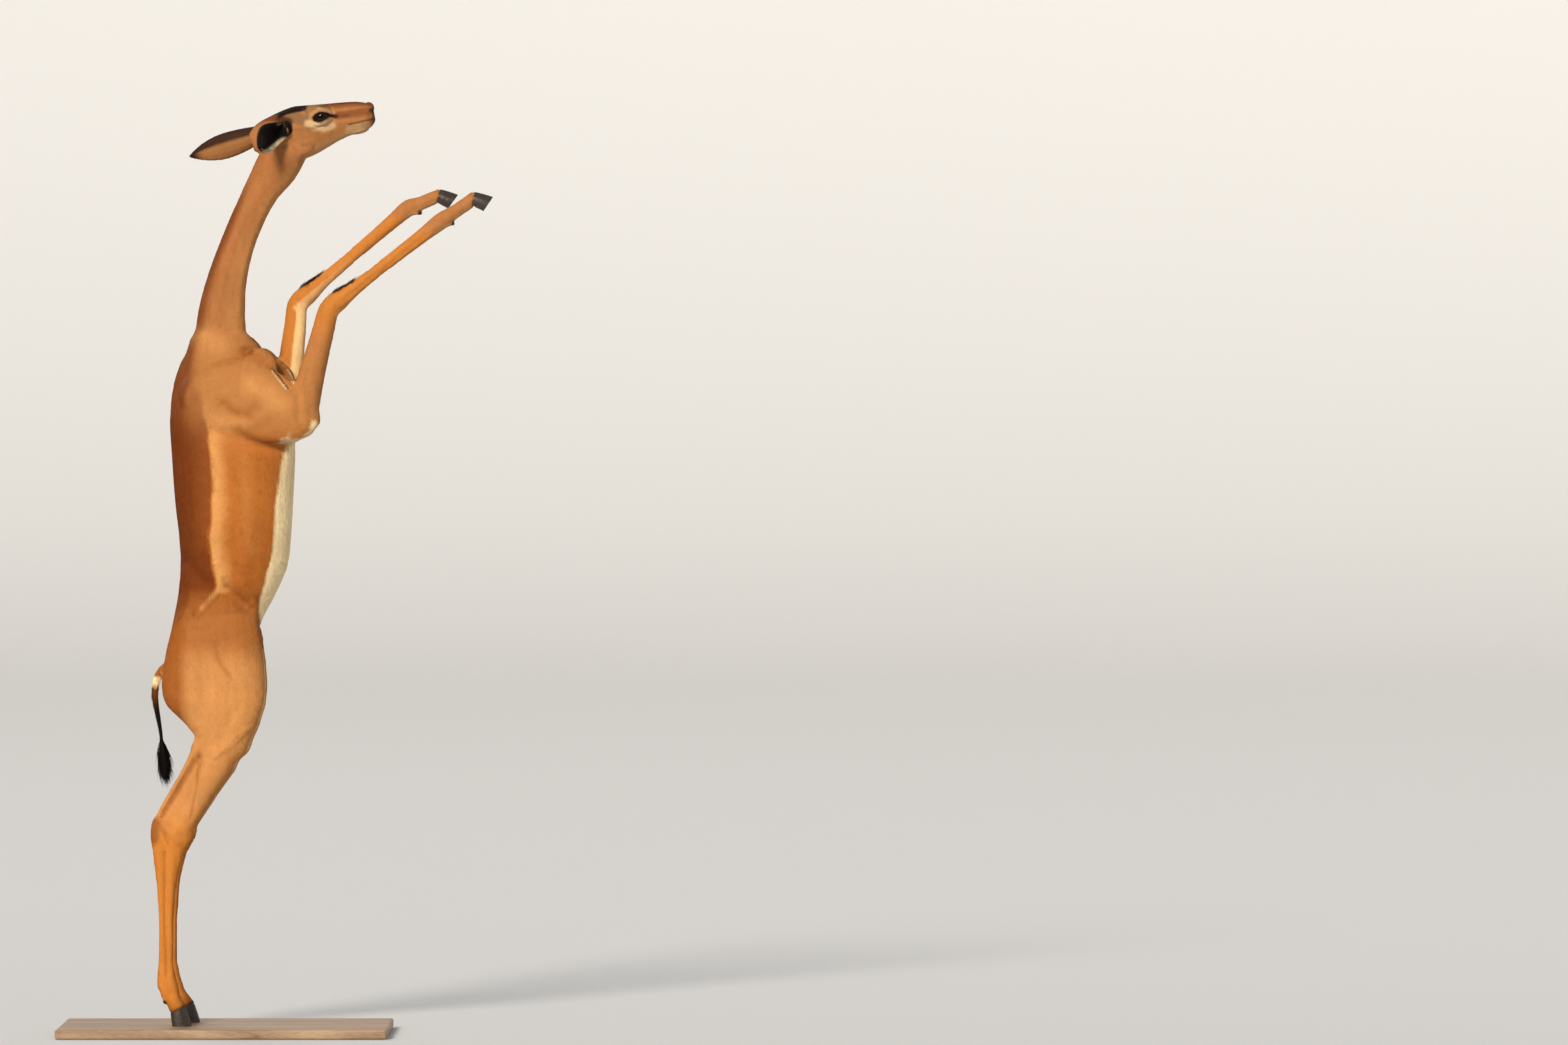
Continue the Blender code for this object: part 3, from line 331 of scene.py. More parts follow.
# Marks of the face in the same way; one is a painted highlight above the front of the eye
FACE_MARKS = (
    ("temple", 0.0125, 0.0080, 0.85, ((0.145, 1.950), (0.168, 1.944))),
    ("crown", 0.0100, 0.0050, 1.00, ((0.112, 1.957), (0.134, 1.966), (0.168, 1.973))),
    ("crown", 0.0090, 0.0090, 0.85, ((0.104, 1.950), (0.122, 1.945), (0.137, 1.939))),
    ("bridge", 0.0085, 0.0100, 0.80, ((0.054, 1.934), (0.068, 1.940), (0.086, 1.947), (0.104, 1.950))),
    ("bridge", 0.0060, 0.0080, 0.70, ((0.236, 1.974), (0.266, 1.977), (0.312, 1.980))),
    ("bridge", 0.0085, 0.0080, 0.80, ((0.240, 1.953), (0.276, 1.958), (0.306, 1.963))),
    (
        "crown", 0.0030, 0.0040, 0.85,
        ((0.166, 1.9765), (0.200, 1.9795), (0.236, 1.9810), (0.280, 1.9840), (0.306, 1.9850)),
    ),
    ("brow", 0.0052, 0.0060, 0.70, ((0.172, 1.952), (0.181, 1.966), (0.200, 1.972))),
    # Painted highlight on the brow ridge above the front of the eye, in the chin's pale tone
    ("chin", 0.0026, 0.0050, 0.55, ((0.200, 1.968), (0.218, 1.966), (0.232, 1.959))),
    ("ring", 0.0068, 0.0090, 0.90, ((0.178, 1.936), (0.196, 1.928), (0.214, 1.925), (0.230, 1.932))),
    ("lid", 0.0036, 0.0030, 0.95, ((0.218, 1.954), (0.238, 1.951))),
    ("lip", 0.0022, 0.0070, 0.50, ((0.234, 1.951), (0.262, 1.954))),
    ("lip", 0.0018, 0.0016, 0.75, ((0.2640, 1.9345), (0.2900, 1.9395), (0.3100, 1.9450), (0.3200, 1.9475))),
    ("lip", 0.0040, 0.0030, 0.90, ((0.3110, 1.9650), (0.3180, 1.9610))),
    ("chin", 0.0090, 0.0080, 0.60, ((0.266, 1.921), (0.300, 1.930))),
)

# Longer hair: scatter, lift, length, width, how many, tone
HAIR_LOOKS = {
    "knee_brush": (0.0060, 0.42, 0.017, 0.0011, 460, "knee"),
    "elbow_hair": (0.0110, 0.20, 0.010, 0.0008, 200, "cream"),
    "ear_fringe": (0.0022, 0.20, 0.013, 0.0006, 520, "ear_hair"),
    "ear_root_hair": (0.0030, 0.10, 0.007, 0.0006, 180, "temple"),
    "lashes": (0.0004, 0.4, 0.0065, 0.0004, 46, "lid"),
    "whiskers": (0.0050, 0.7, 0.014, 0.00026, 26, "lip"),
    "chin_whiskers": (0.0060, 0.7, 0.012, 0.00026, 22, "lip"),
    "chest_tuft": (0.0080, 0.22, 0.015, 0.0010, 300, "shoulder"),
    "seat_hair": (0.0080, 0.12, 0.015, 0.0011, 420, "belly"),
    "coronet_hair_fore": (0.0016, 0.10, 0.0085, 0.0008, 260, "limb"),
    "coronet_hair_hind": (0.0016, 0.10, 0.0085, 0.0008, 260, "hock"),
}
# Lines of places: from the elbow, from the eye, and of the whiskers on one side
ELBOW_LINE = ((0.006, 0, -0.040), (0.032, 0, -0.033), (0.036, 0, 0.0))
LASH_LINE = ((-0.010, 0, 0.0050), (0.002, 0, 0.0086), (0.012, 0, 0.0074))
WHISKER_LINE = ((0.290, 0.022, 1.950), (0.312, 0.018, 1.955))
# Longer hair on the middle of the animal: look, line of places, way
MIDDLE_LINES = (
    ("chin_whiskers", ((0.285, 0, 1.925), (0.305, 0, 1.928)), (0.4, 0, -1.0)),
    ("chest_tuft", ((0.050, 0, 1.482), (0.068, 0, 1.474), (0.088, 0, 1.460)), (0.8, 0, -0.6)),
    ("seat_hair", ((-0.122, 0, 0.758), (-0.126, 0, 0.740), (-0.110, 0, 0.700)), (-0.15, 0, -1.0)),
)

# Short coat: parts in the order in which they are made, and most tufts in one piece
COAT_PARTS = ("head", "neck", "trunk", "forelegs", "haunches", "shanks")
PIECE_TUFTS = 48000
# Faces of a short tuft, shade of its four corners (painted shade at the root, painted light at the tip), and
# how deep its root lies
SHORT_TUFT = ((0, 3, 2), (2, 3, 1), (0, 1, 3), (0, 2, 1))
TUFT_SHADES = (0.97, 0.97, 1.0, 1.03)
TUFT_SINK = 0.00030
# Rings of a long lock (share of its length, girth), how far it bends and how flat it is
LOCK_RINGS = ((0.0, 1.0), (0.28, 0.95), (0.62, 0.62), (1.0, 0.0))
LOCK_BEND, LOCK_FLATNESS = 0.55, 0.45
# Fineness and height of the hair's grain
GRAIN_SCALE, GRAIN_HEIGHT = 620.0, 0.0008
# Cells of the surface that is unwrapped, and size of one tuft in the unwrapped picture
UNWRAP_CELL, UV_PATCH = 0.011, 0.0015
# Growth rings of the hooves
RING_STEP, RING_HEIGHT = 0.0042, 0.00022

# Lights: name, way they come from, share of the main strength, angle, tone
LAMPS = (
    ("key", (-0.36, -1.0, 0.46), 1.0, 14, (1.0, 0.915, 0.80)),
    ("back", (-0.55, 0.95, 0.70), 0.30, 30, (1.0, 0.97, 0.93)),
)
CAMERA_TARGET, CAMERA_RISE = (1.189, 0, 1.088), 0.3235
# Where the floor starts to rise, and how wide its bend is
FLOOR_EDGE, BEND = 28.0, 14.0


class GerenukColours(bpy.types.PropertyGroup):
    """Colours of the coat, by the part of the body that they cover; some also serve as painted shade and
    highlights.
    """


COAT_COLOURS = {
    "flank": ("Flank", (0.440, 0.140, 0.024)),
    # The pale band's tone also serves as painted highlight on raised forms of the shoulder and hip, and as
    # painted light on the front of the neck
    "band": ("Pale band", (0.680, 0.330, 0.105)),
    # The saddle's tone also serves as painted shade in the hollow of the loin and the fold of the flank
    "saddle": ("Saddle", (0.1600, 0.0360, 0.0060)),
    # The rump's tone also serves as painted shade in hollows of the shoulder, in grooves of the hind legs and
    # on the forward faces of the lower hind legs
    "rump": ("Rump", (0.3100, 0.0900, 0.0140)),
    "brow": ("Brow", (0.2350, 0.1400, 0.0660)),
    "shoulder": ("Shoulder", (0.430, 0.175, 0.050)),
    "neck": ("Neck", (0.380, 0.145, 0.045)),
    "thigh": ("Thigh", (0.560, 0.245, 0.075)),
    "limb": ("Lower limb", (0.560, 0.200, 0.034)),
    "belly": ("Belly", (0.9500, 0.7300, 0.4200)),
    "cream": ("Inner limb", (0.9200, 0.6100, 0.2800)),
    "tan": ("Cheek", (0.400, 0.165, 0.055)),
    "crown": ("Crown", (0.0120, 0.0050, 0.0040)),
    "bridge": ("Bridge of the nose", (0.200, 0.060, 0.018)),
    "ring": ("Ring round the eye", (0.640, 0.430, 0.230)),
    "lid": ("Eyelid", (0.006, 0.004, 0.004)),
    "lip": ("Lip and nostril", (0.060, 0.028, 0.018)),
    # The chin's pale tone also serves as a painted highlight above the front of the eye
    "chin": ("Chin", (0.500, 0.330, 0.170)),
    "temple": ("Temple", (0.2150, 0.1180, 0.0470)),
    "horn": ("Horn of the dewclaws", (0.030, 0.020, 0.015)),
    # The knee brush's near-black also serves as painted shade in the slit between forearm and chest
    "knee": ("Knee brush", (0.030, 0.010, 0.005)),
    "hock": ("Point of the hock", (0.2600, 0.0780, 0.0130)),
    "ear_back": ("Back of the ear", (0.3400, 0.1480, 0.0500)),
    "ear_inside": ("Inside of the ear", (0.008, 0.006, 0.006)),
    # Bare skin in the ear, its lighter grey partly painted sheen
    "ear_skin": ("Bare skin in the ear", (0.050, 0.034, 0.034)),
    "ear_hair": ("Hair in the ear", (0.660, 0.520, 0.340)),
    "ear_tip": ("Tip of the ear", (0.030, 0.012, 0.008)),
    "tuft": ("Tail tuft", (0.0030, 0.0018, 0.0014)),
    "groin": ("Groin", (0.200, 0.170, 0.150)),
}


def coat_tone(label, value):
    """One colour of the coat as a property."""
    return bpy.props.FloatVectorProperty(
        name=label,
        description=f"Colour of the coat: {label.lower()}",
        subtype="COLOR",
        size=3,
        min=0,
        max=1,
        default=value,
    )


GerenukColours.__annotations__ = {key: coat_tone(*look) for key, look in COAT_COLOURS.items()}


class GerenukSizes(bpy.types.PropertyGroup):
    """How finely the skin is made and how deep and dense its coat is."""

    body_voxel: bpy.props.FloatProperty(
        name="Body grain",
        description="Size of the cells the body's skin is fused from",
        default=0.0040,
        unit="LENGTH",
    )
    head_voxel: bpy.props.FloatProperty(
        name="Head grain",
        description="Size of the cells the head's skin is fused from",
        default=0.0017,
        unit="LENGTH",
    )
    coat_depth: bpy.props.FloatProperty(
        name="Coat depth",
        description="How far the skin lies under the flesh's outline on the body",
        default=0.0010,
        unit="LENGTH",
    )
    face_depth: bpy.props.FloatProperty(
        name="Face depth",
        description="How far the skin lies under the outline on the face and ears",
        default=0.0004,
        unit="LENGTH",
    )
    tufts: bpy.props.IntProperty(name="Tufts", description="Short tufts in the whole coat", default=270000)
    tuft_lift: bpy.props.FloatProperty(
        name="Tuft lift",
        description="Angle that the tufts stand off the skin",
        default=math.radians(2.8),
        subtype="ANGLE",
    )
    tail_locks: bpy.props.IntProperty(
        name="Tail locks", description="Long locks in the tail's tuft", default=520
    )


class GerenukStudio(bpy.types.PropertyGroup):
    """Camera, floor and light."""

    pixels_per_metre: bpy.props.FloatProperty(
        name="Scale", description="Picture elements to a metre at the animal", default=470.0
    )
    distance: bpy.props.FloatProperty(
        name="Camera distance", description="From the camera to the animal", default=25.0, unit="LENGTH"
    )
    key_power: bpy.props.FloatProperty(
        name="Key light", description="Strength of the main light", default=3.5
    )
    fill: bpy.props.FloatProperty(
        name="Fill", description="Brightness of the pale surroundings", default=0.36
    )
    floor_tone: bpy.props.FloatVectorProperty(
        name="Floor", description="Colour of the floor", subtype="COLOR", size=3, default=(0.66, 0.665, 0.67)
    )


# Mesh helpers


def linked(name, data):
    """A new object in the scene with that mesh, curve, light or camera."""
    obj = bpy.data.objects.new(name, data)
    bpy.context.scene.collection.objects.link(obj)
    return obj


def from_bmesh(name, bm):
    """A new object in the scene from the working mesh, which is freed."""
    mesh = bpy.data.meshes.new(name)
    bm.to_mesh(mesh)
    bm.free()
    return linked(name, mesh)


def settled_mesh(obj):
    """A new mesh of the object as it looks with its modifiers."""
    graph = bpy.context.evaluated_depsgraph_get()
    return bpy.data.meshes.new_from_object(obj.evaluated_get(graph), depsgraph=graph)


def settle(obj):
    """Applies the object's modifiers."""
    mesh = settled_mesh(obj)
    obj.modifiers.clear()
    obj.data = mesh


def combine(base, other, way):
    """Joins the other object to the base or cuts it out of it, and removes it."""
    step = base.modifiers.new("combine", "BOOLEAN")
    step.operation = way
    step.solver = "MANIFOLD"
    step.object = other
    settle(base)
    bpy.data.objects.remove(other)


def recast(obj, cell):
    """Makes the object one closed surface of even cells."""
    step = obj.modifiers.new("cells", "REMESH")
    step.mode = "VOXEL"
    step.voxel_size = cell
    settle(obj)


def thin_out(obj, share):
    """Leaves that share of the faces, fewer where the surface is nearly flat."""
    step = obj.modifiers.new("thin", "DECIMATE")
    step.ratio = share
    settle(obj)


def merged_copy(node, grow=0.0):
    """The node's shape as one closed mesh, a little larger all round where neighbours have to meet."""
    bm = bmesh.new()
    bm.from_mesh(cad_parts[node].data)
    bmesh.ops.remove_doubles(bm, verts=bm.verts[:], dist=1e-6)
    if grow:
        bm.normal_update()
        for vert in bm.verts:
            vert.co += vert.normal * grow
    return from_bmesh(f"copy_{node}", bm)


def joined_nodes(nodes, grow):
    """The nodes' shapes joined to one closed mesh."""
    base, *others = [merged_copy(node, grow) for node in nodes]
    for other in others:
        combine(base, other, "UNION")
    return base


def eye_middle(side):
    """Middle of the eye on that side."""
    return Vector((EYE_PLACE[0], side * EYE_PLACE[1], EYE_PLACE[2]))


def open_lids(head, side):
    """Fills the socket with lids that stand off the eye, and opens them as an almond."""
    at = eye_middle(side)
    bm = bmesh.new()
    bmesh.ops.create_uvsphere(bm, u_segments=40, v_segments=24, radius=EYE_RADIUS + LID_THICKNESS)
    bm.transform(Matrix.Translation(at))
    combine(head, from_bmesh("lid_ball", bm), "UNION")
    bm = bmesh.new()
    bmesh.ops.create_circle(bm, cap_ends=True, segments=36, radius=1.0)
    for vert in bm.verts:
        pinch = 1 - LID_PINCH * max(0.0, vert.co.x) ** 2
        vert.co = Vector((vert.co.x * EYE_OPENING[0], 0, vert.co.y * EYE_OPENING[1] * pinch))
    grown = bmesh.ops.extrude_face_region(bm, geom=bm.faces[:])["geom"]
    outer = [part for part in grown if isinstance(part, bmesh.types.BMVert)]
    bmesh.ops.translate(bm, verts=outer, vec=(0, side * LID_REACH, 0))
    bmesh.ops.recalc_face_normals(bm, faces=bm.faces[:])
    shift = Vector((LID_SHIFT[0], side * LID_SHIFT[1], LID_SHIFT[2]))
    bm.transform(Matrix.Translation(at + shift) @ Matrix.Rotation(-EYE_TILT, 4, "Y"))
    combine(head, from_bmesh("lid_opening", bm), "DIFFERENCE")


def rows_of(items, key, width=3, kind=np.float32):
    """One value of every item, as rows of that width."""
    out = np.empty(len(items) * width, kind)
    items.foreach_get(key, out)
    return out.reshape(-1, width)


def points_of(mesh):
    return rows_of(mesh.vertices, "co").astype(float)


def normals_of(mesh):
    return rows_of(mesh.vertex_normals, "vector").astype(float)


def place_points(mesh, points):
    mesh.vertices.foreach_set("co", points.astype(np.float32).ravel())
    mesh.update()


def smooth(mesh):
    mesh.polygons.foreach_set("use_smooth", np.ones(len(mesh.polygons), bool))
    mesh.update()


def unit(way):
    """One way at length one."""
    return way / np.linalg.norm(way)


def units(ways):
    """Each way at length one."""
    return ways / np.maximum(np.linalg.norm(ways, axis=1), 1e-9)[:, None]


def relax(mesh, rounds, keep=None, shares=(0.50, -0.53)):
    """Smooths without shrinking, or evens out when only one share is given.

    keep is how firmly each point stays.
    """
    a, b = rows_of(mesh.edges, "vertices", 2, np.int32).T
    points = points_of(mesh)
    count = np.bincount(np.concatenate((a, b)), minlength=len(points))[:, None]
    move = 1.0 if keep is None else (1 - keep)[:, None]
    for _ in range(rounds):
        for share in shares:
            total = np.empty_like(points)
            for k in range(3):
                total[:, k] = np.bincount(a, points[b, k], len(points))
                total[:, k] += np.bincount(b, points[a, k], len(points))
            points = points + (total / np.maximum(count, 1) - points) * share * move
    place_points(mesh, points)


def eased(value):
    """Held between 0 and 1, with a soft start and end."""
    value = np.clip(value, 0, 1)
    return value * value * (3 - 2 * value)


def rising(value, start, width):
    """0 up to the start, and 1 from a width further on."""
    return eased((value - start) / width)


def falling(value, end, width):
    """1 up to a width short of the end, and 0 from the end on."""
    return eased((end - value) / width)


def curve_at(table, where):
    """The table's second column read at places of its first."""
    table = np.array(table, float)
    return np.interp(where, table[:, 0], table[:, 1])


def along(flat, line):
    """Distance of each point from a line of points, and its share of the way along it."""
    line = np.array(line, float)
    lengths = np.linalg.norm(np.diff(line, axis=0), axis=1)
    best, share, done = np.full(len(flat), 1e9), np.zeros(len(flat)), 0.0
    for start, end, length in zip(line, line[1:], lengths):
        t = np.clip(((flat - start) @ (end - start)) / length**2, 0, 1)
        away = np.linalg.norm(flat - start - t[:, None] * (end - start), axis=1)
        nearer = away < best
        best[nearer] = away[nearer]
        share[nearer] = (done + t[nearer] * length) / lengths.sum()
        done += length
    return best, share


def away_from(points, start, end):
    """Distance of each point from the straight piece between start and end."""
    reach = end - start
    t = np.clip(((points - start) @ reach) / (reach @ reach), 0, 1)
    return np.linalg.norm(points - start - t[:, None] * reach, axis=1)


def on_side(points, normals, side, sharp=2.4):
    """1 where the surface faces outwards on that side of the animal (0 for both sides)."""
    outward = np.sign(points[:, 1]) * normals[:, 1]
    facing = np.clip(outward * sharp, 0, 1)
    if side:
        facing = facing * (np.sign(points[:, 1]) == side)
    return facing


def sculpt(mesh, forms):
    """Raises or sinks the surface along each line, strongest in its middle."""
    points, normals = points_of(mesh), normals_of(mesh)
    flat = points[:, (0, 2)]
    lift = np.zeros(len(points))
    for side, radius, height, line in forms:
        low, high = np.min(line, 0) - FORM_REACH * radius, np.max(line, 0) + FORM_REACH * radius
        near = np.flatnonzero(((flat > low) & (flat < high)).all(1))
        away, share = along(flat[near], line)
        length = np.linalg.norm(np.diff(line, axis=0), axis=1).sum()
        ends = eased(FORM_END + np.minimum(share, 1 - share) * length / (1.5 * radius))
        facing = on_side(points[near], normals[near], side)
        lift[near] += height * np.exp(-((away / radius) ** 2)) * ends * facing
    place_points(mesh, points + normals * lift[:, None])


def even_joins(mesh):
    """Evens out the places where lengths of flesh meet."""
    points = points_of(mesh)
    loose = np.zeros(len(points))
    for middle, reach in SOFT_JOINS:
        for side in SIDES.values():
            away = np.linalg.norm(points - np.array(middle) * (1, side, 1), axis=1)
            loose = np.maximum(loose, falling(away, reach, reach * 0.6))
    relax(mesh, JOIN_ROUNDS, 1 - loose, shares=(0.50,))


def rib_forms():
    """Faint ribs down the side."""
    tops = [RIB_TOP - RIB_STEP * i for i in range(RIB_COUNT)]
    lines = [tuple((x, top + rise) for x, rise in RIB_LINE) for top in tops]
    return tuple((0, RIB_RADIUS, RIB_HEIGHT, line) for line in lines)


# Places on the animal


def above_seam(points):
    """How far each point lies up the neck from the seam of the two halves of the skin."""
    return (points - np.array(NECK_SEAM)) @ np.array(NECK_WAY)


def foreleg_points(name):
    """Elbow, carpus, fetlock and coronet of the foreleg on that side."""
    return [np.array((x, SIDES[name] * y, z)) for (x, z), y in zip(FORE_JOINTS[name], FORE_PLACES)]


def foot_ways(fetlock, coronet):
    """The way down the foot and the way to its back."""
    down = unit(np.array((coronet[0] - fetlock[0], 0, coronet[1] - fetlock[1])))
    return down, np.array((down[2], 0, -down[0]))


def ear_frame(name):
    """Base, way along and way that the cup opens, as arrays."""
    base, axis, mouth = (np.array(v, float) for v in EARS[name])
    axis = unit(axis)
    return base, axis, unit(mouth - axis * (mouth @ axis))


def bones():
    """Start, end, girth and hair length of each length of the body, both sides."""
    rows = list(TRUNK_BONES)
    for name, side in SIDES.items():
        mirror = Vector((1, side, 1))
        joints = [Vector((x, side * y, z)) for (x, z), y in zip(FORE_JOINTS[name], FORE_PLACES)]
        rows.append((Vector(SHOULDER) * mirror, joints[0], *SHOULDER_SIZES))
        rows += [(start, end, *sizes) for start, end, sizes in zip(joints, joints[1:], FORE_SIZES)]
        rows += [(Vector(a) * mirror, Vector(b) * mirror, *sizes) for a, b, *sizes in HIND_BONES]
        base, axis, _ = ear_frame(name)
        rows.append((Vector(base), Vector(base + axis * EAR_SIZES[name][0]), *EAR_HAIR))
    return [(np.array(a, float), np.array(b, float), girth, hair) for a, b, girth, hair in rows]


def lie_of_hair(points, normals):
    """The way that hair lies at each point, and its length there."""
    way, length, total = np.zeros((len(points), 3)), np.zeros(len(points)), np.zeros(len(points))
    for start, end, girth, hair in bones():
        weight = 1 / ((away_from(points, start, end) / girth) ** 3.2 + 0.03)
        way += weight[:, None] * (end - start) / np.linalg.norm(end - start)
        length += weight * hair
        total += weight
    way -= normals * (way * normals).sum(1)[:, None]
    return units(way), length / total


def in_ears(points, normals):
    """For each ear: share along it, place across it from -1 to 1, whether inside, and whether on it."""
    out = []
    for name in SIDES:
        base, axis, mouth = ear_frame(name)
        from_base = points - base
        length, breadth = EAR_SIZES[name]
        share = from_base @ axis / length
        middle = -EAR_HOLLOW * np.sin(np.pi * np.clip(share, 0, 1))
        width = curve_at(EAR_WIDTHS, share) * breadth
        sideways = (from_base @ np.cross(mouth, axis)) / width
        deep = (from_base @ mouth) - middle
        on = (share > -0.02) & (share < 1.05) & (np.abs(sideways) < 1.35) & (np.abs(deep) < 0.030)
        inside = eased((normals @ mouth) * 2.2 + 0.1)
        cup = inside * (np.abs(sideways) < 0.9) * (deep < 0.006)
        on = on * np.maximum(rising(share, 0.03, 0.06), cup)
        from_middle = np.hypot(sideways * width, from_base @ mouth)
        bottom = (share > -0.16) * (share < 0.10) * falling(from_middle, EAR_BOTTOM, 0.003)
        out.append((share, sideways, np.maximum(inside, bottom), np.maximum(on, bottom)))
    return out


def dewclaw_tips():
    """Middle of each dewclaw's tip."""
    out = []
    for fetlock, coronet, place, _ in FEET:
        down, back = foot_ways(fetlock, coronet)
        for toe in (-1, 1):
            beside = np.array((fetlock[0], place + toe * DEWCLAW_ROOT[0], fetlock[1]))
            root = beside + down * DEWCLAW_ROOT[1] + back * DEWCLAW_ROOT[2]
            out.append(root + (down * DEWCLAW_WAY[0] + back * DEWCLAW_WAY[1]) * 0.85)
    return out


def knee_brush(name):
    """Start and end of the dark brush on the front of the knee on that side."""
    _, carpus, fetlock, _ = foreleg_points(name)
    shin = unit(fetlock - carpus)
    front = np.array((-shin[2], 0, shin[0])) * KNEE_BRUSH_FRONT
    return tuple(carpus + shin * down + front for down in KNEE_BRUSH_SPAN)


# Colours of the coat


def mixed(colour, target, mask):
    """The colour drawn towards the target as far as the mask says."""
    return colour + (np.array(target) - colour) * np.clip(mask, 0, 1)[:, None]


def patchy(points, scale, seed):
    """Soft random tone of about -1 to 1 over the surface, from a few waves."""
    draw = np.random.default_rng(seed)
    total = np.zeros(len(points))
    for _ in range(7):
        wave = unit(draw.normal(size=3))
        scaled = points @ wave * 2 * np.pi / (scale * draw.uniform(0.7, 1.5))
        total += np.sin(scaled + draw.uniform(0, 6.3))
    return total / 3.2


def painted(colour, points, normals, tones, marks):
    """Lays each mark along its line on both sides of the animal."""
    flat = points[:, (0, 2)]
    facing = on_side(points, normals, 0, 4.0)
    for tone, radius, soft, strength, line in marks:
        away, _ = along(flat, line)
        mask = falling(away, radius + soft / 2, soft) * strength
        colour = mixed(colour, tones[tone], mask * facing)
    return colour


def round_eye(points, size):
    """1 inside an almond round either eye, pointed towards the nose, fading at its edge."""
    length, height, soft = size
    x, z = points[:, 0] - EYE_PLACE[0], points[:, 2] - EYE_PLACE[2]
    u = (x * math.cos(EYE_TILT) + z * math.sin(EYE_TILT)) / length
    v = (z * math.cos(EYE_TILT) - x * math.sin(EYE_TILT)) / (height * (1 - 0.35 * np.clip(u, 0, 1)))
    return falling(np.hypot(u, v), 1 + soft / 2, soft)


def coat_tones():
    """The colours of the coat as arrays, by name."""
    colours = bpy.context.scene.gerenuk_colours
    return {key: np.array(getattr(colours, key)) for key in COAT_COLOURS}


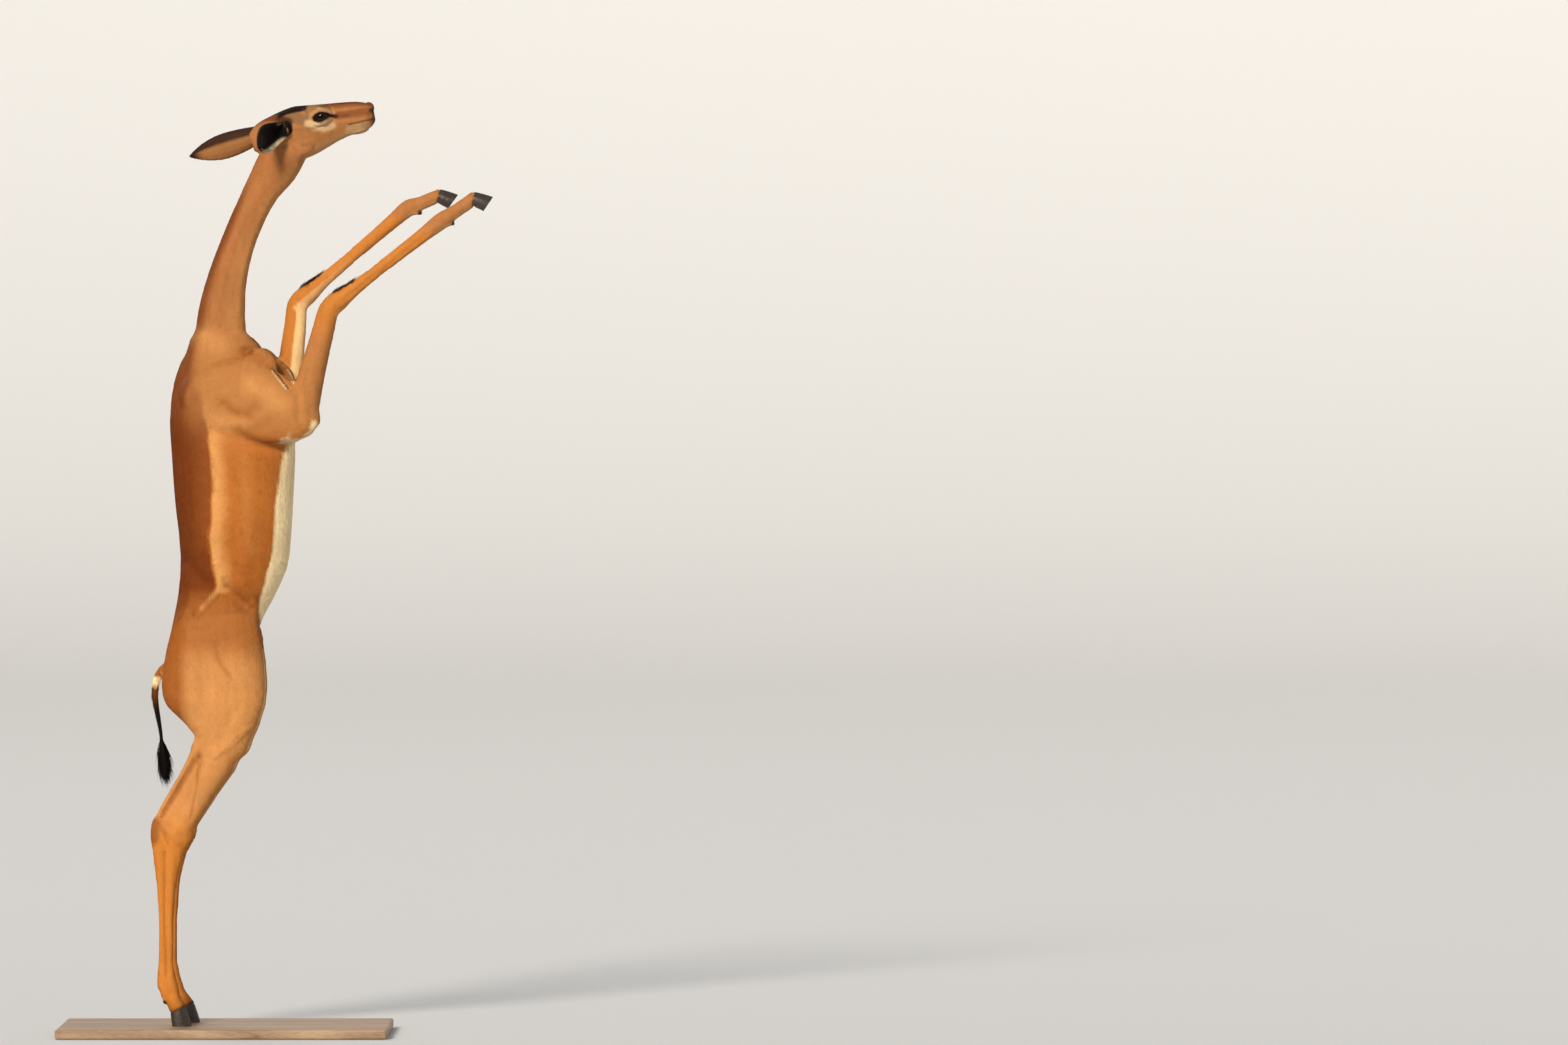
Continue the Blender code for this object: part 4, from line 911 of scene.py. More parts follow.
class Coat:
    """The coat's colour over some points of the skin, with painted shade and highlights, laid on tone by
    tone.
    """

    def __init__(self, points, normals):
        self.points, self.normals = points, normals
        self.x, self.y, self.z = points.T
        self.side = np.abs(self.y)
        self.tones = coat_tones()
        self.colour = self.plain("flank")
        self.wobble = patchy(points, 0.055, 3) * 0.0030
        outwards = np.sign(self.y) * normals[:, 1]
        self.outer = eased(outwards * 2.0 + 0.5)
        self.inner = rising(-outwards, 0.15, 0.5)
        front = rising(self.x, curve_at(FORELEG_EDGE, self.z), 0.02)
        arm = (self.z < 1.60) | (self.x > 0.13 + 1.2 * (self.z - 1.60))
        high = (self.z > 1.24) * (self.z < 1.86) * (self.x > 0.09)
        self.foreleg = front * high * (self.side > 0.035) * arm

    def plain(self, tone):
        """One tone all over."""
        return np.tile(self.tones[tone], (len(self.points), 1))

    def lay(self, tone, mask):
        self.colour = mixed(self.colour, self.tones[tone], mask)

    def ground(self):
        """The broad tones from the hooves up to the neck, with painted light on the front of the neck."""
        z = self.z
        self.lay("shoulder", rising(z, 1.22, 0.10))
        self.lay("neck", rising(z, 1.40, 0.16))
        self.lay("rump", falling(z, 1.12, 0.16) * 0.42)
        self.lay("thigh", falling(z, 0.955, 0.08))
        self.lay("rump", rising(z, 0.775, 0.07) * falling(z, 0.955, 0.03) * 0.72)
        self.lay("limb", falling(z, 0.50, 0.10))
        arm = rising(z - 1.36, 0.10 * self.outer, 0.10 - 0.03 * self.outer)
        self.lay("limb", self.foreleg * arm * 0.85)
        # Painted light: the front of the neck paler where the surface faces forwards
        throat = rising(self.normals[:, 0], 0.10, 0.5) * rising(z, 1.45, 0.06) * falling(z, 1.87, 0.04)
        self.lay("band", throat * (1 - self.foreleg) * 0.45)

    def back(self):
        """Pale band, dark saddle, the line of the back and the rump, and painted shade on the front of the
        lower hind legs.
        """
        x, z, forwards, body = self.x, self.z, self.normals[:, 0], 1 - self.foreleg
        edge = curve_at(SADDLE_EDGE, z) + self.wobble
        soft = 0.006 + 0.020 * rising(z, 1.28, 0.12)
        band = rising(x, edge, 0.006) * falling(x, edge + 0.048, 0.038)
        self.lay("band", band * (z > 0.94) * falling(z, 1.36, 0.14) * 0.80)
        saddle = falling(x, edge + soft / 2, soft) * rising(z, 0.925, 0.03) * falling(z, 1.84, 0.08)
        deep = 0.74 + 0.26 * np.maximum(falling(x, edge, 0.06), falling(z, 1.08, 0.08))
        self.lay("saddle", saddle * deep * (1 - 0.52 * rising(z, 1.25, 0.12)) * body)
        spine = rising(-forwards, 0.38, 0.4) * rising(z, 0.83, 0.05) * falling(z, 1.84, 0.1)
        self.lay("saddle", spine * 0.75 * body * (self.side < 0.10) * (z > 0.82))
        rump = falling(x, -0.066, 0.035) * falling(z, 0.92, 0.06) * rising(z, 0.60, 0.04)
        self.lay("rump", rump * 0.92)
        # Painted shade on the forward faces of the lower hind legs
        self.lay("rump", rising(forwards, 0.25, 0.55) * falling(z, 0.62, 0.04) * 0.25)

    def belly(self):
        """White belly, cream insides of the hind legs, groin and breast."""
        x, z, side = self.x, self.z, self.side
        edge = curve_at(BELLY_EDGE, z) + self.wobble * 0.7
        belly = rising(x, edge, 0.006) * (z > 0.80) * falling(z, 1.30, 0.05) * (1 - self.foreleg)
        self.lay("cream", self.inner * (z < 0.82) * rising(z, 0.42, 0.10) * 0.9)
        self.lay("belly", belly)
        groin = rising(x, 0.040, 0.02) * falling(z, 0.900, 0.05) * rising(z, 0.79, 0.05)
        self.lay("groin", groin * falling(side, 0.036, 0.028) * 0.75)
        breast = rising(x, 0.085, 0.03) * rising(z, 1.24, 0.03) * falling(z, 1.40, 0.06)
        self.lay("belly", breast * falling(side, 0.034, 0.014) * 0.9)

    def forelegs(self):
        """The cream line down the rear of each foreleg, from the elbow to the fetlock."""
        flat, z = self.points[:, (0, 2)], self.z
        fade = (0.90 - 0.45 * rising(z, 1.52, 0.04)) * falling(z, 1.68, 0.12)
        for name, side in SIDES.items():
            elbow, carpus, fetlock, _ = (np.array(joint) for joint in FORE_JOINTS[name])
            for start, end in ((elbow, carpus), (carpus, fetlock)):
                length = np.linalg.norm(end - start)
                axis = (end - start) / length
                under = np.array((axis[1], -axis[0]))
                share = (flat - start) @ axis / length
                rear = rising((flat - start) @ under, -0.001, 0.005)
                proud = rising(self.normals[:, (0, 2)] @ under, 0.55, 0.3) * 0.5
                here = (share > -0.05) * (share < 1.0) * (np.sign(self.y) == side) * self.foreleg
                shown = np.maximum(self.inner * rear, proud * eased(self.inner * 4 + 0.35 * (z > 1.52)))
                self.lay("cream", here * shown * fade)

    def seat_and_feet(self):
        """White under the tail, and feet that darken a little over the hooves."""
        seat = falling(self.side, 0.040, 0.014) * falling(self.x, -0.100, 0.012)
        self.lay("belly", seat * falling(self.z, 0.775, 0.02) * rising(self.z, 0.66, 0.04))
        self.lay("hock", falling(self.z, 0.085, 0.03) * 0.5)

    def marks(self):
        self.colour = painted(self.colour, self.points, self.normals, self.tones, MARKS)

    def head(self):
        """Fawn face with its dark crown and bridge, pale throat and chin, and dark lips."""
        x, z, upwards = self.x, self.z, self.normals[:, 2]
        head = rising(above_seam(self.points), 0.105, 0.03) * (x > 0.03)
        self.lay("tan", head * 0.85)
        top = head * rising(upwards, 0.55, 0.3)
        self.lay("crown", top * falling(x, 0.182, 0.02) * rising(x, 0.075, 0.02) * rising(z, 1.935, 0.012))
        self.lay("bridge", top * rising(x, 0.185, 0.02) * rising(z, 1.955, 0.01) * 0.95)
        throat = head * rising(-upwards, 0.3, 0.4)
        self.lay("band", throat * 0.45)
        self.lay("chin", throat * 0.35 * rising(x, 0.17, 0.05))
        self.face(np.flatnonzero((z > 1.85) & (x > 0.05)))
        self.lay("lip", rising(x, 0.309, 0.008) * (z > 1.90) * 0.75)

    def face(self, near):
        """The finer marks of the face and round the eye, on the points given."""
        points, normals = self.points[near], self.normals[near]
        facing = on_side(points, normals, 0, 4.0)
        under_eye = 0.20 + 0.50 * falling(points[:, 2], 1.951, 0.010)
        worn = mixed(self.colour[near], self.tones["ring"], round_eye(points, PALE_RING) * facing * under_eye)
        worn = painted(worn, points, normals, self.tones, FACE_MARKS)
        self.colour[near] = mixed(worn, self.tones["lid"], round_eye(points, LID_RING) * facing)

    def ears(self):
        """Fawn backs with dark edges and tip, near-black cups with bare skin in a painted sheen, and a pale
        fringe low down.
        """
        tones = self.tones
        for side, (share, across, inside, on) in zip(SIDES.values(), in_ears(self.points, self.normals)):
            low = -across * side
            back = mixed(self.plain("ear_back"), tones["ear_tip"], rising(share, 0.80, 0.16))
            low_edge = rising(low, 0.86, 0.16) * rising(share, 0.45, 0.3) * 0.7
            back = mixed(back, tones["ear_tip"], rising(-low, 0.18, 0.34) * 0.95 + low_edge)
            # Bare skin in the cup, lighter as a painted sheen
            bare_and_sheen = rising(share, 0.30, 0.35) * 0.6 * falling(np.abs(across), 0.55, 0.5)
            cup = mixed(self.plain("ear_inside"), tones["ear_skin"], bare_and_sheen)
            fringe = rising(low, 0.62, 0.20) * rising(share, 0.06, 0.1) * falling(share, 0.90, 0.10)
            cup = mixed(cup, tones["ear_hair"], fringe * 0.8)
            self.colour = mixed(self.colour, mixed(back, cup, inside), on)

    def knees_and_dewclaws(self):
        for name in SIDES:
            away = away_from(self.points, *knee_brush(name))
            self.lay("knee", falling(away, KNEE_BRUSH_RADIUS, 0.007) * 0.9)
        for tip in dewclaw_tips():
            away = np.linalg.norm(self.points - tip, axis=1)
            self.lay("horn", falling(away, DEWCLAW_RADIUS, 0.003))


def coat_colour(points, normals):
    """The coat's colour at each point, with painted shade and highlights on some forms, in light's own scale.
    """
    coat = Coat(points, normals)
    coat.ground()
    coat.back()
    coat.belly()
    coat.forelegs()
    coat.seat_and_feet()
    coat.marks()
    coat.head()
    coat.ears()
    coat.knees_and_dewclaws()
    mottle = 1 + 0.035 * patchy(points, 0.020, 5) + 0.035 * patchy(points, 0.085, 9)
    return np.clip(coat.colour * mottle[:, None], DARKEST, BRIGHTEST)


# Materials


def new_material(name, roughness=0.6, **plain):
    """A material whose steady values are set on the shader's own sockets."""
    made = bpy.data.materials.new(name)
    made.use_nodes = True
    shader = made.node_tree.nodes["Principled BSDF"]
    shader.inputs["Roughness"].default_value = roughness
    for socket, value in plain.items():
        shader.inputs[socket.replace("_", " ")].default_value = value
    return made, made.node_tree.nodes, made.node_tree.links, shader


def node(nodes, kind, values=(), **settings):
    """A new node with its settings and the steady values of its sockets."""
    made = nodes.new(kind)
    for key, value in settings.items():
        setattr(made, key, value)
    for socket, value in dict(values).items():
        made.inputs[socket].default_value = value
    return made


def stretched_place(nodes, links, values):
    """The place on the object, moved and scaled by the values."""
    place = nodes.new("ShaderNodeTexCoord")
    stretch = node(nodes, "ShaderNodeMapping", values)
    links.new(place.outputs["Object"], stretch.inputs["Vector"])
    return stretch.outputs["Vector"]


def colour_between(nodes, links, value, dark, light, ends=(0.0, 1.0)):
    """A colour from dark to light, as the value goes from one end to the other."""
    ramp = nodes.new("ShaderNodeValToRGB")
    for element, colour, end in zip(ramp.color_ramp.elements, (dark, light), ends):
        element.position = end
        element.color = (*colour, 1)
    links.new(value, ramp.inputs["Fac"])
    return ramp.outputs["Color"]


def dent(nodes, links, shader, height, strength, distance):
    """Raises and sinks the shaded surface by the height."""
    made = node(nodes, "ShaderNodeBump", {"Strength": strength, "Distance": distance})
    links.new(height, made.inputs["Height"])
    links.new(made.outputs["Normal"], shader.inputs["Normal"])


def grain_group():
    """Hair grain shared by skin and tufts: a fine mottle for the colour and a height for the bump."""
    name = "hair_grain"
    if name in bpy.data.node_groups:
        return bpy.data.node_groups[name]
    group = bpy.data.node_groups.new(name, "ShaderNodeTree")
    for label, kind in (("Colour", "NodeSocketColor"), ("Strength", "NodeSocketFloat")):
        group.interface.new_socket(label, in_out="INPUT", socket_type=kind)
    for label, kind in (("Colour", "NodeSocketColor"), ("Height", "NodeSocketFloat")):
        group.interface.new_socket(label, in_out="OUTPUT", socket_type=kind)
    nodes, links = group.nodes, group.links
    entry, leave = nodes.new("NodeGroupInput"), nodes.new("NodeGroupOutput")
    place = stretched_place(nodes, links, {"Scale": (1.0, 1.0, 0.28)})
    fine = node(nodes, "ShaderNodeTexNoise", {"Scale": GRAIN_SCALE, "Detail": 3.0, "Roughness": 0.6})
    links.new(place, fine.inputs["Vector"])
    ends = {"From Min": 0.3, "From Max": 0.7, "To Min": -1.0, "To Max": 1.0}
    tone = node(nodes, "ShaderNodeMapRange", ends)
    links.new(fine.outputs["Fac"], tone.inputs["Value"])
    share = node(nodes, "ShaderNodeMath", {2: 1.0}, operation="MULTIPLY_ADD")
    links.new(tone.outputs["Result"], share.inputs[0])
    links.new(entry.outputs["Strength"], share.inputs[1])
    shade = node(nodes, "ShaderNodeVectorMath", operation="SCALE")
    links.new(entry.outputs["Colour"], shade.inputs[0])
    links.new(share.outputs[0], shade.inputs["Scale"])
    links.new(shade.outputs["Vector"], leave.inputs["Colour"])
    links.new(fine.outputs["Fac"], leave.inputs["Height"])
    return group


def coat_material(name, strength, bump=0.0):
    """Hair in the surface's own tone, with grain of that strength and bumps of that height."""
    made, nodes, links, shader = new_material(name, 0.66, Specular_IOR_Level=0.08)
    tone = node(nodes, "ShaderNodeAttribute", attribute_name="coat_tone")
    grain = nodes.new("ShaderNodeGroup")
    grain.node_tree = grain_group()
    grain.inputs["Strength"].default_value = strength
    links.new(tone.outputs["Color"], grain.inputs["Colour"])
    links.new(grain.outputs["Colour"], shader.inputs["Base Color"])
    if bump:
        dent(nodes, links, shader, grain.outputs["Height"], 0.5, bump)
    return made


def tone_attribute(mesh, colour):
    """Gives each point of the mesh its own tone."""
    layer = mesh.attributes.new("coat_tone", "FLOAT_COLOR", "POINT")
    rgba = np.ones((len(mesh.vertices), 4), np.float32)
    rgba[:, :3] = colour
    layer.data.foreach_set("color", rgba.ravel())
    mesh.attributes.active_color = layer


# Skin


def keep_part(obj, above):
    """Keeps what is above or below the seam on the neck, open there."""
    bm = bmesh.new()
    bm.from_mesh(obj.data)
    faces = bm.faces[:]
    if not above:
        middles = [(face, face.calc_center_median()) for face in faces]
        faces = [face for face, middle in middles if middle.x < 0.15 and middle.z > 1.6]
    geometry = list({part for face in faces for part in (*face.verts, *face.edges, face)})
    place = Vector(NECK_SEAM) + Vector(NECK_WAY).normalized() * (SEAM_GAP if above else -SEAM_GAP)
    cut = {"plane_co": place, "plane_no": NECK_WAY, "clear_inner": above, "clear_outer": not above}
    bmesh.ops.bisect_plane(bm, geom=geometry, **cut)
    bm.to_mesh(obj.data)
    bm.free()


def body_flesh(sizes):
    """Trunk, neck and limbs, fused and sculpted, up to the seam."""
    body = joined_nodes(FLESH, BODY_GROWTH)
    recast(body, sizes.body_voxel)
    relax(body.data, BODY_ROUNDS)
    even_joins(body.data)
    sculpt(body.data, FORMS + rib_forms())
    thin_out(body, BODY_SHARE)
    return body


def head_flesh(sizes):
    """Head with its lids and ears, fused and sculpted, down to the seam."""
    head = joined_nodes(HEAD_FLESH, HEAD_GROWTH)
    for side in SIDES.values():
        open_lids(head, side)
    recast(head, sizes.head_voxel)
    relax(head.data, HEAD_ROUNDS)
    sculpt(head.data, [(0, *form) for form in FACE_FORMS])
    thin_out(head, HEAD_SHARE)
    return head


def bridged(body, head):
    """Body and head as one object, joined smoothly round the neck."""
    keep_part(body, above=False)
    keep_part(head, above=True)
    bm = bmesh.new()
    bm.from_mesh(body.data)
    bm.from_mesh(head.data)
    bmesh.ops.bridge_loops(bm, edges=[edge for edge in bm.edges if edge.is_boundary])
    seam, way = Vector(NECK_SEAM), Vector(NECK_WAY).normalized()
    band = [vert for vert in bm.verts if abs((vert.co - seam).dot(way)) < SEAM_REACH]
    for _ in range(SEAM_ROUNDS):
        bmesh.ops.smooth_vert(bm, verts=band, factor=0.5, use_axis_x=True, use_axis_y=True, use_axis_z=True)
    bmesh.ops.recalc_face_normals(bm, faces=bm.faces[:])
    for old in (body, head):
        bpy.data.objects.remove(old)
    return from_bmesh("skin", bm)


class GERENUK_OT_skin(bpy.types.Operator):
    """One skin from the lips to the hooves, fused from the flesh and sculpted"""

    bl_idname = "gerenuk.skin"
    bl_label = "Skin"

    def execute(self, context):
        sizes = context.scene.gerenuk_sizes
        body = body_flesh(sizes)
        skin = bridged(body, head_flesh(sizes))
        mesh = skin.data
        points, normals = points_of(mesh), normals_of(mesh)
        to_face = rising(above_seam(points), -0.02, 0.10)
        depth = sizes.coat_depth + (sizes.face_depth - sizes.coat_depth) * to_face
        place_points(mesh, points - normals * depth[:, None])
        tone_attribute(mesh, coat_colour(points_of(mesh), normals_of(mesh)))
        mesh.materials.append(coat_material("short_coat_skin", 0.10, GRAIN_HEIGHT))
        smooth(mesh)
        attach(skin, "root")
        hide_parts(*sorted(set(FLESH + HEAD_FLESH)))
        return {"FINISHED"}


def eye_material():
    """Glossy and near black, with a black pupil that lies level."""
    gloss = {"Coat_Weight": 0.10, "Coat_Roughness": 0.03, "Specular_IOR_Level": 0.12}
    made, nodes, links, shader = new_material("eye_dark", 0.10, **gloss)
    place = stretched_place(nodes, links, {"Location": (-EYE_PLACE[0], 0.0, -EYE_PLACE[2])})
    wide = node(nodes, "ShaderNodeVectorMath", {1: (62.0, 0.0, 125.0)}, operation="MULTIPLY")
    links.new(place, wide.inputs[0])
    away = node(nodes, "ShaderNodeVectorMath", operation="LENGTH")
    links.new(wide.outputs["Vector"], away.inputs[0])
    pupil, iris = (0.0015, 0.001, 0.001), (0.020, 0.008, 0.003)
    colour = colour_between(nodes, links, away.outputs["Value"], pupil, iris, (0.45, 0.62))
    links.new(colour, shader.inputs["Base Color"])
    return made


class GERENUK_OT_eyes(bpy.types.Operator):
    """Dark glossy eyes with a level pupil"""

    bl_idname = "gerenuk.eyes"
    bl_label = "Eyes"

    def execute(self, context):
        made = eye_material()
        for name, side in SIDES.items():
            bm = bmesh.new()
            bmesh.ops.create_uvsphere(bm, u_segments=56, v_segments=36, radius=EYE_RADIUS)
            bm.transform(Matrix.Translation(eye_middle(side)) @ Matrix.Rotation(math.pi / 2, 4, "X"))
            eye = from_bmesh(f"eyeball_{name}", bm)
            smooth(eye.data)
            eye.data.materials.append(made)
            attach(eye, "root")
            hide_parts(f"eye_{name}")
        return {"FINISHED"}


def horn_material():
    """Dark streaked horn."""
    made, nodes, links, shader = new_material("hoof_horn", 0.36, Specular_IOR_Level=0.5)
    place = nodes.new("ShaderNodeTexCoord")
    streak = node(nodes, "ShaderNodeTexNoise", {"Scale": 160.0, "Detail": 3.0})
    links.new(place.outputs["Object"], streak.inputs["Vector"])
    value = streak.outputs["Fac"]
    colour = colour_between(nodes, links, value, (0.012, 0.009, 0.008), (0.060, 0.042, 0.032))
    links.new(colour, shader.inputs["Base Color"])
    dent(nodes, links, shader, value, 0.4, 0.0005)
    return made


def foot_of(hoof):
    """Fetlock and coronet of the foot that the hoof belongs to."""
    for fetlock, coronet, place, end in FEET:
        if end in hoof and (place < 0) == ("right" in hoof):
            return fetlock, coronet
    raise ValueError(f"no foot for {hoof}")


def ring_hoof(mesh, fetlock, coronet):
    """Growth rings round the wall of the hoof."""
    points, normals = points_of(mesh), normals_of(mesh)
    down = foot_ways(fetlock, coronet)[0][[0, 2]]
    below = (points[:, (0, 2)] - np.array(coronet)) @ down
    wall = falling(np.abs(normals[:, (0, 2)] @ down), 0.55, 0.3)
    rings = wall * RING_HEIGHT * (np.sin(below * 2 * np.pi / RING_STEP) - 1)
    place_points(mesh, points + normals * rings[:, None])


class GERENUK_OT_hooves(bpy.types.Operator):
    """Eight claws of dark horn with growth rings"""

    bl_idname = "gerenuk.hooves"
    bl_label = "Hooves"

    def execute(self, context):
        made = horn_material()
        for name in HOOVES:
            hoof = merged_copy(name)
            hoof.name = name.replace("hoof_", "claw_")
            edge = hoof.modifiers.new("edge", "BEVEL")
            edge.width, edge.segments = 0.0010, 2
            edge.limit_method, edge.angle_limit = "ANGLE", math.radians(50)
            finer = hoof.modifiers.new("finer", "SUBSURF")
            finer.subdivision_type, finer.levels = "SIMPLE", 2
            settle(hoof)
            ring_hoof(hoof.data, *foot_of(name))
            smooth(hoof.data)
            hoof.data.materials.clear()
            hoof.data.materials.append(made)
            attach(hoof, "root")
            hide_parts(name)
        return {"FINISHED"}


# Hair


def roots_on(mesh, count, seed, weight):
    """Random places over the surface, denser where weight is larger, with normals there."""
    mesh.calc_loop_triangles()
    corners = rows_of(mesh.loop_triangles, "vertices", 3, np.int32)
    points, normals = points_of(mesh), normals_of(mesh)
    a, b, c = (points[corners[:, k]] for k in range(3))
    area = np.linalg.norm(np.cross(b - a, c - a), axis=1) / 2
    chance = area * weight[corners].mean(1)
    draw = np.random.default_rng(seed)
    picked = draw.choice(len(corners), size=count, p=chance / chance.sum())
    u, v = draw.random(count), draw.random(count)
    over = u + v > 1
    u[over], v[over] = 1 - u[over], 1 - v[over]
    shares = np.stack((1 - u - v, u, v), 1)[:, :, None]
    root = (points[corners[picked]] * shares).sum(1)
    return root, units((normals[corners[picked]] * shares).sum(1))


def turned(way, normal, angle):
    """Turns the way about the normal."""
    return way * np.cos(angle)[:, None] + np.cross(normal, way) * np.sin(angle)[:, None]


class Unwrap:
    """An unwrap of the skin's own shape that gives each root its place in the picture."""

    def __init__(self, skin):
        low = linked("unwrap", skin.data.copy())
        recast(low, UNWRAP_CELL)
        bpy.context.view_layer.objects.active = low
        for other in bpy.context.selected_objects:
            other.select_set(False)
        low.select_set(True)
        bpy.ops.object.mode_set(mode="EDIT")
        bpy.ops.mesh.select_all(action="SELECT")
        bpy.ops.mesh.quads_convert_to_tris()
        bpy.ops.uv.smart_project(angle_limit=math.radians(66), island_margin=0.004)
        bpy.ops.object.mode_set(mode="OBJECT")
        mesh = low.data
        self.faces = rows_of(mesh.polygons, "vertices", 3, np.int32)
        self.uv = rows_of(mesh.uv_layers.active.data, "uv", 2).reshape(-1, 3, 2)
        self.points = points_of(mesh)
        self.tree = BVHTree.FromPolygons([Vector(p) for p in self.points], [tuple(f) for f in self.faces])
        bpy.data.objects.remove(low)

    def at(self, roots):
        """Place of each root in the picture, by the face of the unwrap that is nearest to it."""
        found = [self.tree.find_nearest(Vector(root)) for root in roots]
        faces = np.array([hit[2] for hit in found])
        near = np.array([hit[0] for hit in found])
        a, b, c = (self.points[self.faces[faces][:, k]] for k in range(3))
        ab, ac, ap = b - a, c - a, near - a
        bb, bc, cc, pb, pc = (
            (one * other).sum(1) for one, other in ((ab, ab), (ab, ac), (ac, ac), (ap, ab), (ap, ac))
        )
        under = np.maximum(bb * cc - bc**2, 1e-18)
        v = np.clip((cc * pb - bc * pc) / under, 0, 1)
        w = np.clip((bb * pc - bc * pb) / under, 0, 1)
        shares = np.stack((1 - v - w, v, w), 1)[:, :, None]
        return (self.uv[faces] * shares).sum(1)


@functools.cache
def skin_unwrap():
    """The one unwrap that every piece of hair shares."""
    return Unwrap(bpy.data.objects["skin"])


def joined_hair(name, shapes, normals, colours, faces, uv_at, material, slot):
    """Many like tufts as one mesh: shapes is tufts by points by 3, faces the corners of one tuft."""
    count, size = shapes.shape[:2]
    corners = (np.array(faces)[None] + (np.arange(count) * size)[:, None, None]).reshape(-1)
    mesh = bpy.data.meshes.new(name)
    mesh.vertices.add(count * size)
    mesh.vertices.foreach_set("co", shapes.reshape(-1).astype(np.float32))
    mesh.loops.add(len(corners))
    mesh.loops.foreach_set("vertex_index", corners.astype(np.int32))
    total = count * len(faces)
    mesh.polygons.add(total)
    mesh.polygons.foreach_set("loop_start", np.arange(total, dtype=np.int32) * 3)
    mesh.polygons.foreach_set("use_smooth", np.ones(total, bool))
    mesh.update(calc_edges=True)
    tone_attribute(mesh, colours.reshape(-1, 3))
    layer = mesh.uv_layers.new(name="OFBake")
    turn = np.arange(size) * 2 * np.pi / size
    patch = np.stack((np.cos(turn), np.sin(turn)), 1) * UV_PATCH
    uv = (uv_at[:, None] + patch[None]).reshape(-1, 2)
    layer.data.foreach_set("uv", np.clip(uv[corners], 0, 1).astype(np.float32).ravel())
    mesh.normals_split_custom_set_from_vertices(normals.reshape(-1, 3))
    mesh.materials.append(material)
    obj = linked(name, mesh)
    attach(obj, "root")


def short_tufts(root, normal, way, length, width, lift):
    """A flat closed tuft of four faces: two corners at the root, a ridge between them, and a tip."""
    across = np.cross(normal, way)
    length, width, lift = length[:, None], width[:, None], lift[:, None]
    left = root - across * width / 2 - normal * TUFT_SINK
    right = root + across * width / 2 - normal * TUFT_SINK
    ridge = root + way * length * 0.30 + normal * (lift * length * 0.45 + 0.00008)
    tip = root + way * length + normal * lift * length
    return np.stack((left, right, ridge, tip), 1)


def lock_faces():
    """Corners of a lock with three rings of three and a tip."""
    faces = []
    for ring in range(2):
        for k in range(3):
            a, b = ring * 3 + k, ring * 3 + (k + 1) % 3
            faces += [(a, b, b + 3), (a, b + 3, a + 3)]
    faces += [(6 + k, 6 + (k + 1) % 3, 9) for k in range(3)]
    faces.append((2, 1, 0))
    return faces


def long_locks(root, way, bend, length, width):
    """Tapered locks that leave along way and bend over towards bend."""
    across = units(np.cross(way, bend))
    rings = []
    for share, girth in LOCK_RINGS:
        centre = root + way * (length * share)[:, None] + bend * (length * share**2 * LOCK_BEND)[:, None]
        up = np.cross(units(way + bend * (2 * LOCK_BEND * share)), across)
        if girth == 0:
            rings.append(centre)
            continue
        for turn in (math.pi / 2, math.pi * 7 / 6, math.pi * 11 / 6):
            out = across * (math.cos(turn) * width * girth / 2)[:, None]
            off = up * (math.sin(turn) * width * girth * LOCK_FLATNESS / 2)[:, None]
            rings.append(centre + out + off)
    return np.stack(rings, 1)


def hair_piece(name, root, shapes, outward, tones, slot):
    """A piece of long locks, each in one tone and lit as the surface it leaves."""
    size = shapes.shape[1]
    lit, coloured = (np.repeat(rows[:, None], size, 1) for rows in (units(outward), tones))
    made = bpy.data.materials.get("long_hair") or coat_material("long_hair", 0.08)
    joined_hair(name, shapes, lit, coloured, lock_faces(), skin_unwrap().at(root), made, slot)


def coat_parts(root):
    """The part of the coat that each root belongs to."""
    x, z = root[:, 0], root[:, 2]
    where = [above_seam(root) > 0, (x > 0.10) & (z > 1.25), z > 1.40, z > 0.90, z > 0.60]
    return np.select(where, ["head", "forelegs", "neck", "trunk", "haunches"], "shanks")


class GERENUK_OT_coat(bpy.types.Operator):
    """The short coat: flat tufts that follow the lie of the hair all over the body"""

    bl_idname = "gerenuk.coat"
    bl_label = "Short coat"

    def execute(self, context):
        sizes = context.scene.gerenuk_sizes
        skin = bpy.data.objects["skin"]
        unwrap = skin_unwrap()
        _, hair = lie_of_hair(points_of(skin.data), normals_of(skin.data))
        count = sizes.tufts
        root, normal = roots_on(skin.data, count, 11, 1 / hair**1.5)
        way, length = lie_of_hair(root, normal)
        draw = np.random.default_rng(12)
        way = turned(way, normal, draw.normal(0, 0.14, count))
        length = length * draw.uniform(0.7, 1.15, count)
        width = length * 0.105 + 0.00025
        lift = np.tan(sizes.tuft_lift) * draw.uniform(0.3, 1.5, count)
        shapes = short_tufts(root, normal, way, length, width, lift)
        colour = coat_colour(root, normal) * draw.normal(1, 0.040, count)[:, None]
        # Painted shade at each tuft's root and painted light at its tip
        shades = np.stack([colour * share for share in TUFT_SHADES], 1)
        colours = np.clip(shades, DARKEST, BRIGHTEST)
        sideways = np.cross(normal, way) * draw.normal(0, 0.07, count)[:, None]
        shading = np.repeat(units(normal * 0.96 + sideways - way * 0.03)[:, None], 4, 1)
        uv = unwrap.at(root)
        made = coat_material("short_coat_tufts", 0.04)
        part = coat_parts(root)
        for name in COAT_PARTS:
            chosen = np.flatnonzero(part == name)
            for start in range(0, len(chosen), PIECE_TUFTS):
                some = chosen[start : start + PIECE_TUFTS]
                tail = f"_{start // PIECE_TUFTS + 1}" if len(chosen) > PIECE_TUFTS else ""
                look = (shapes[some], shading[some], colours[some], SHORT_TUFT, uv[some])
                joined_hair(f"coat_{name}{tail}", *look, made, "coat")
        return {"FINISHED"}


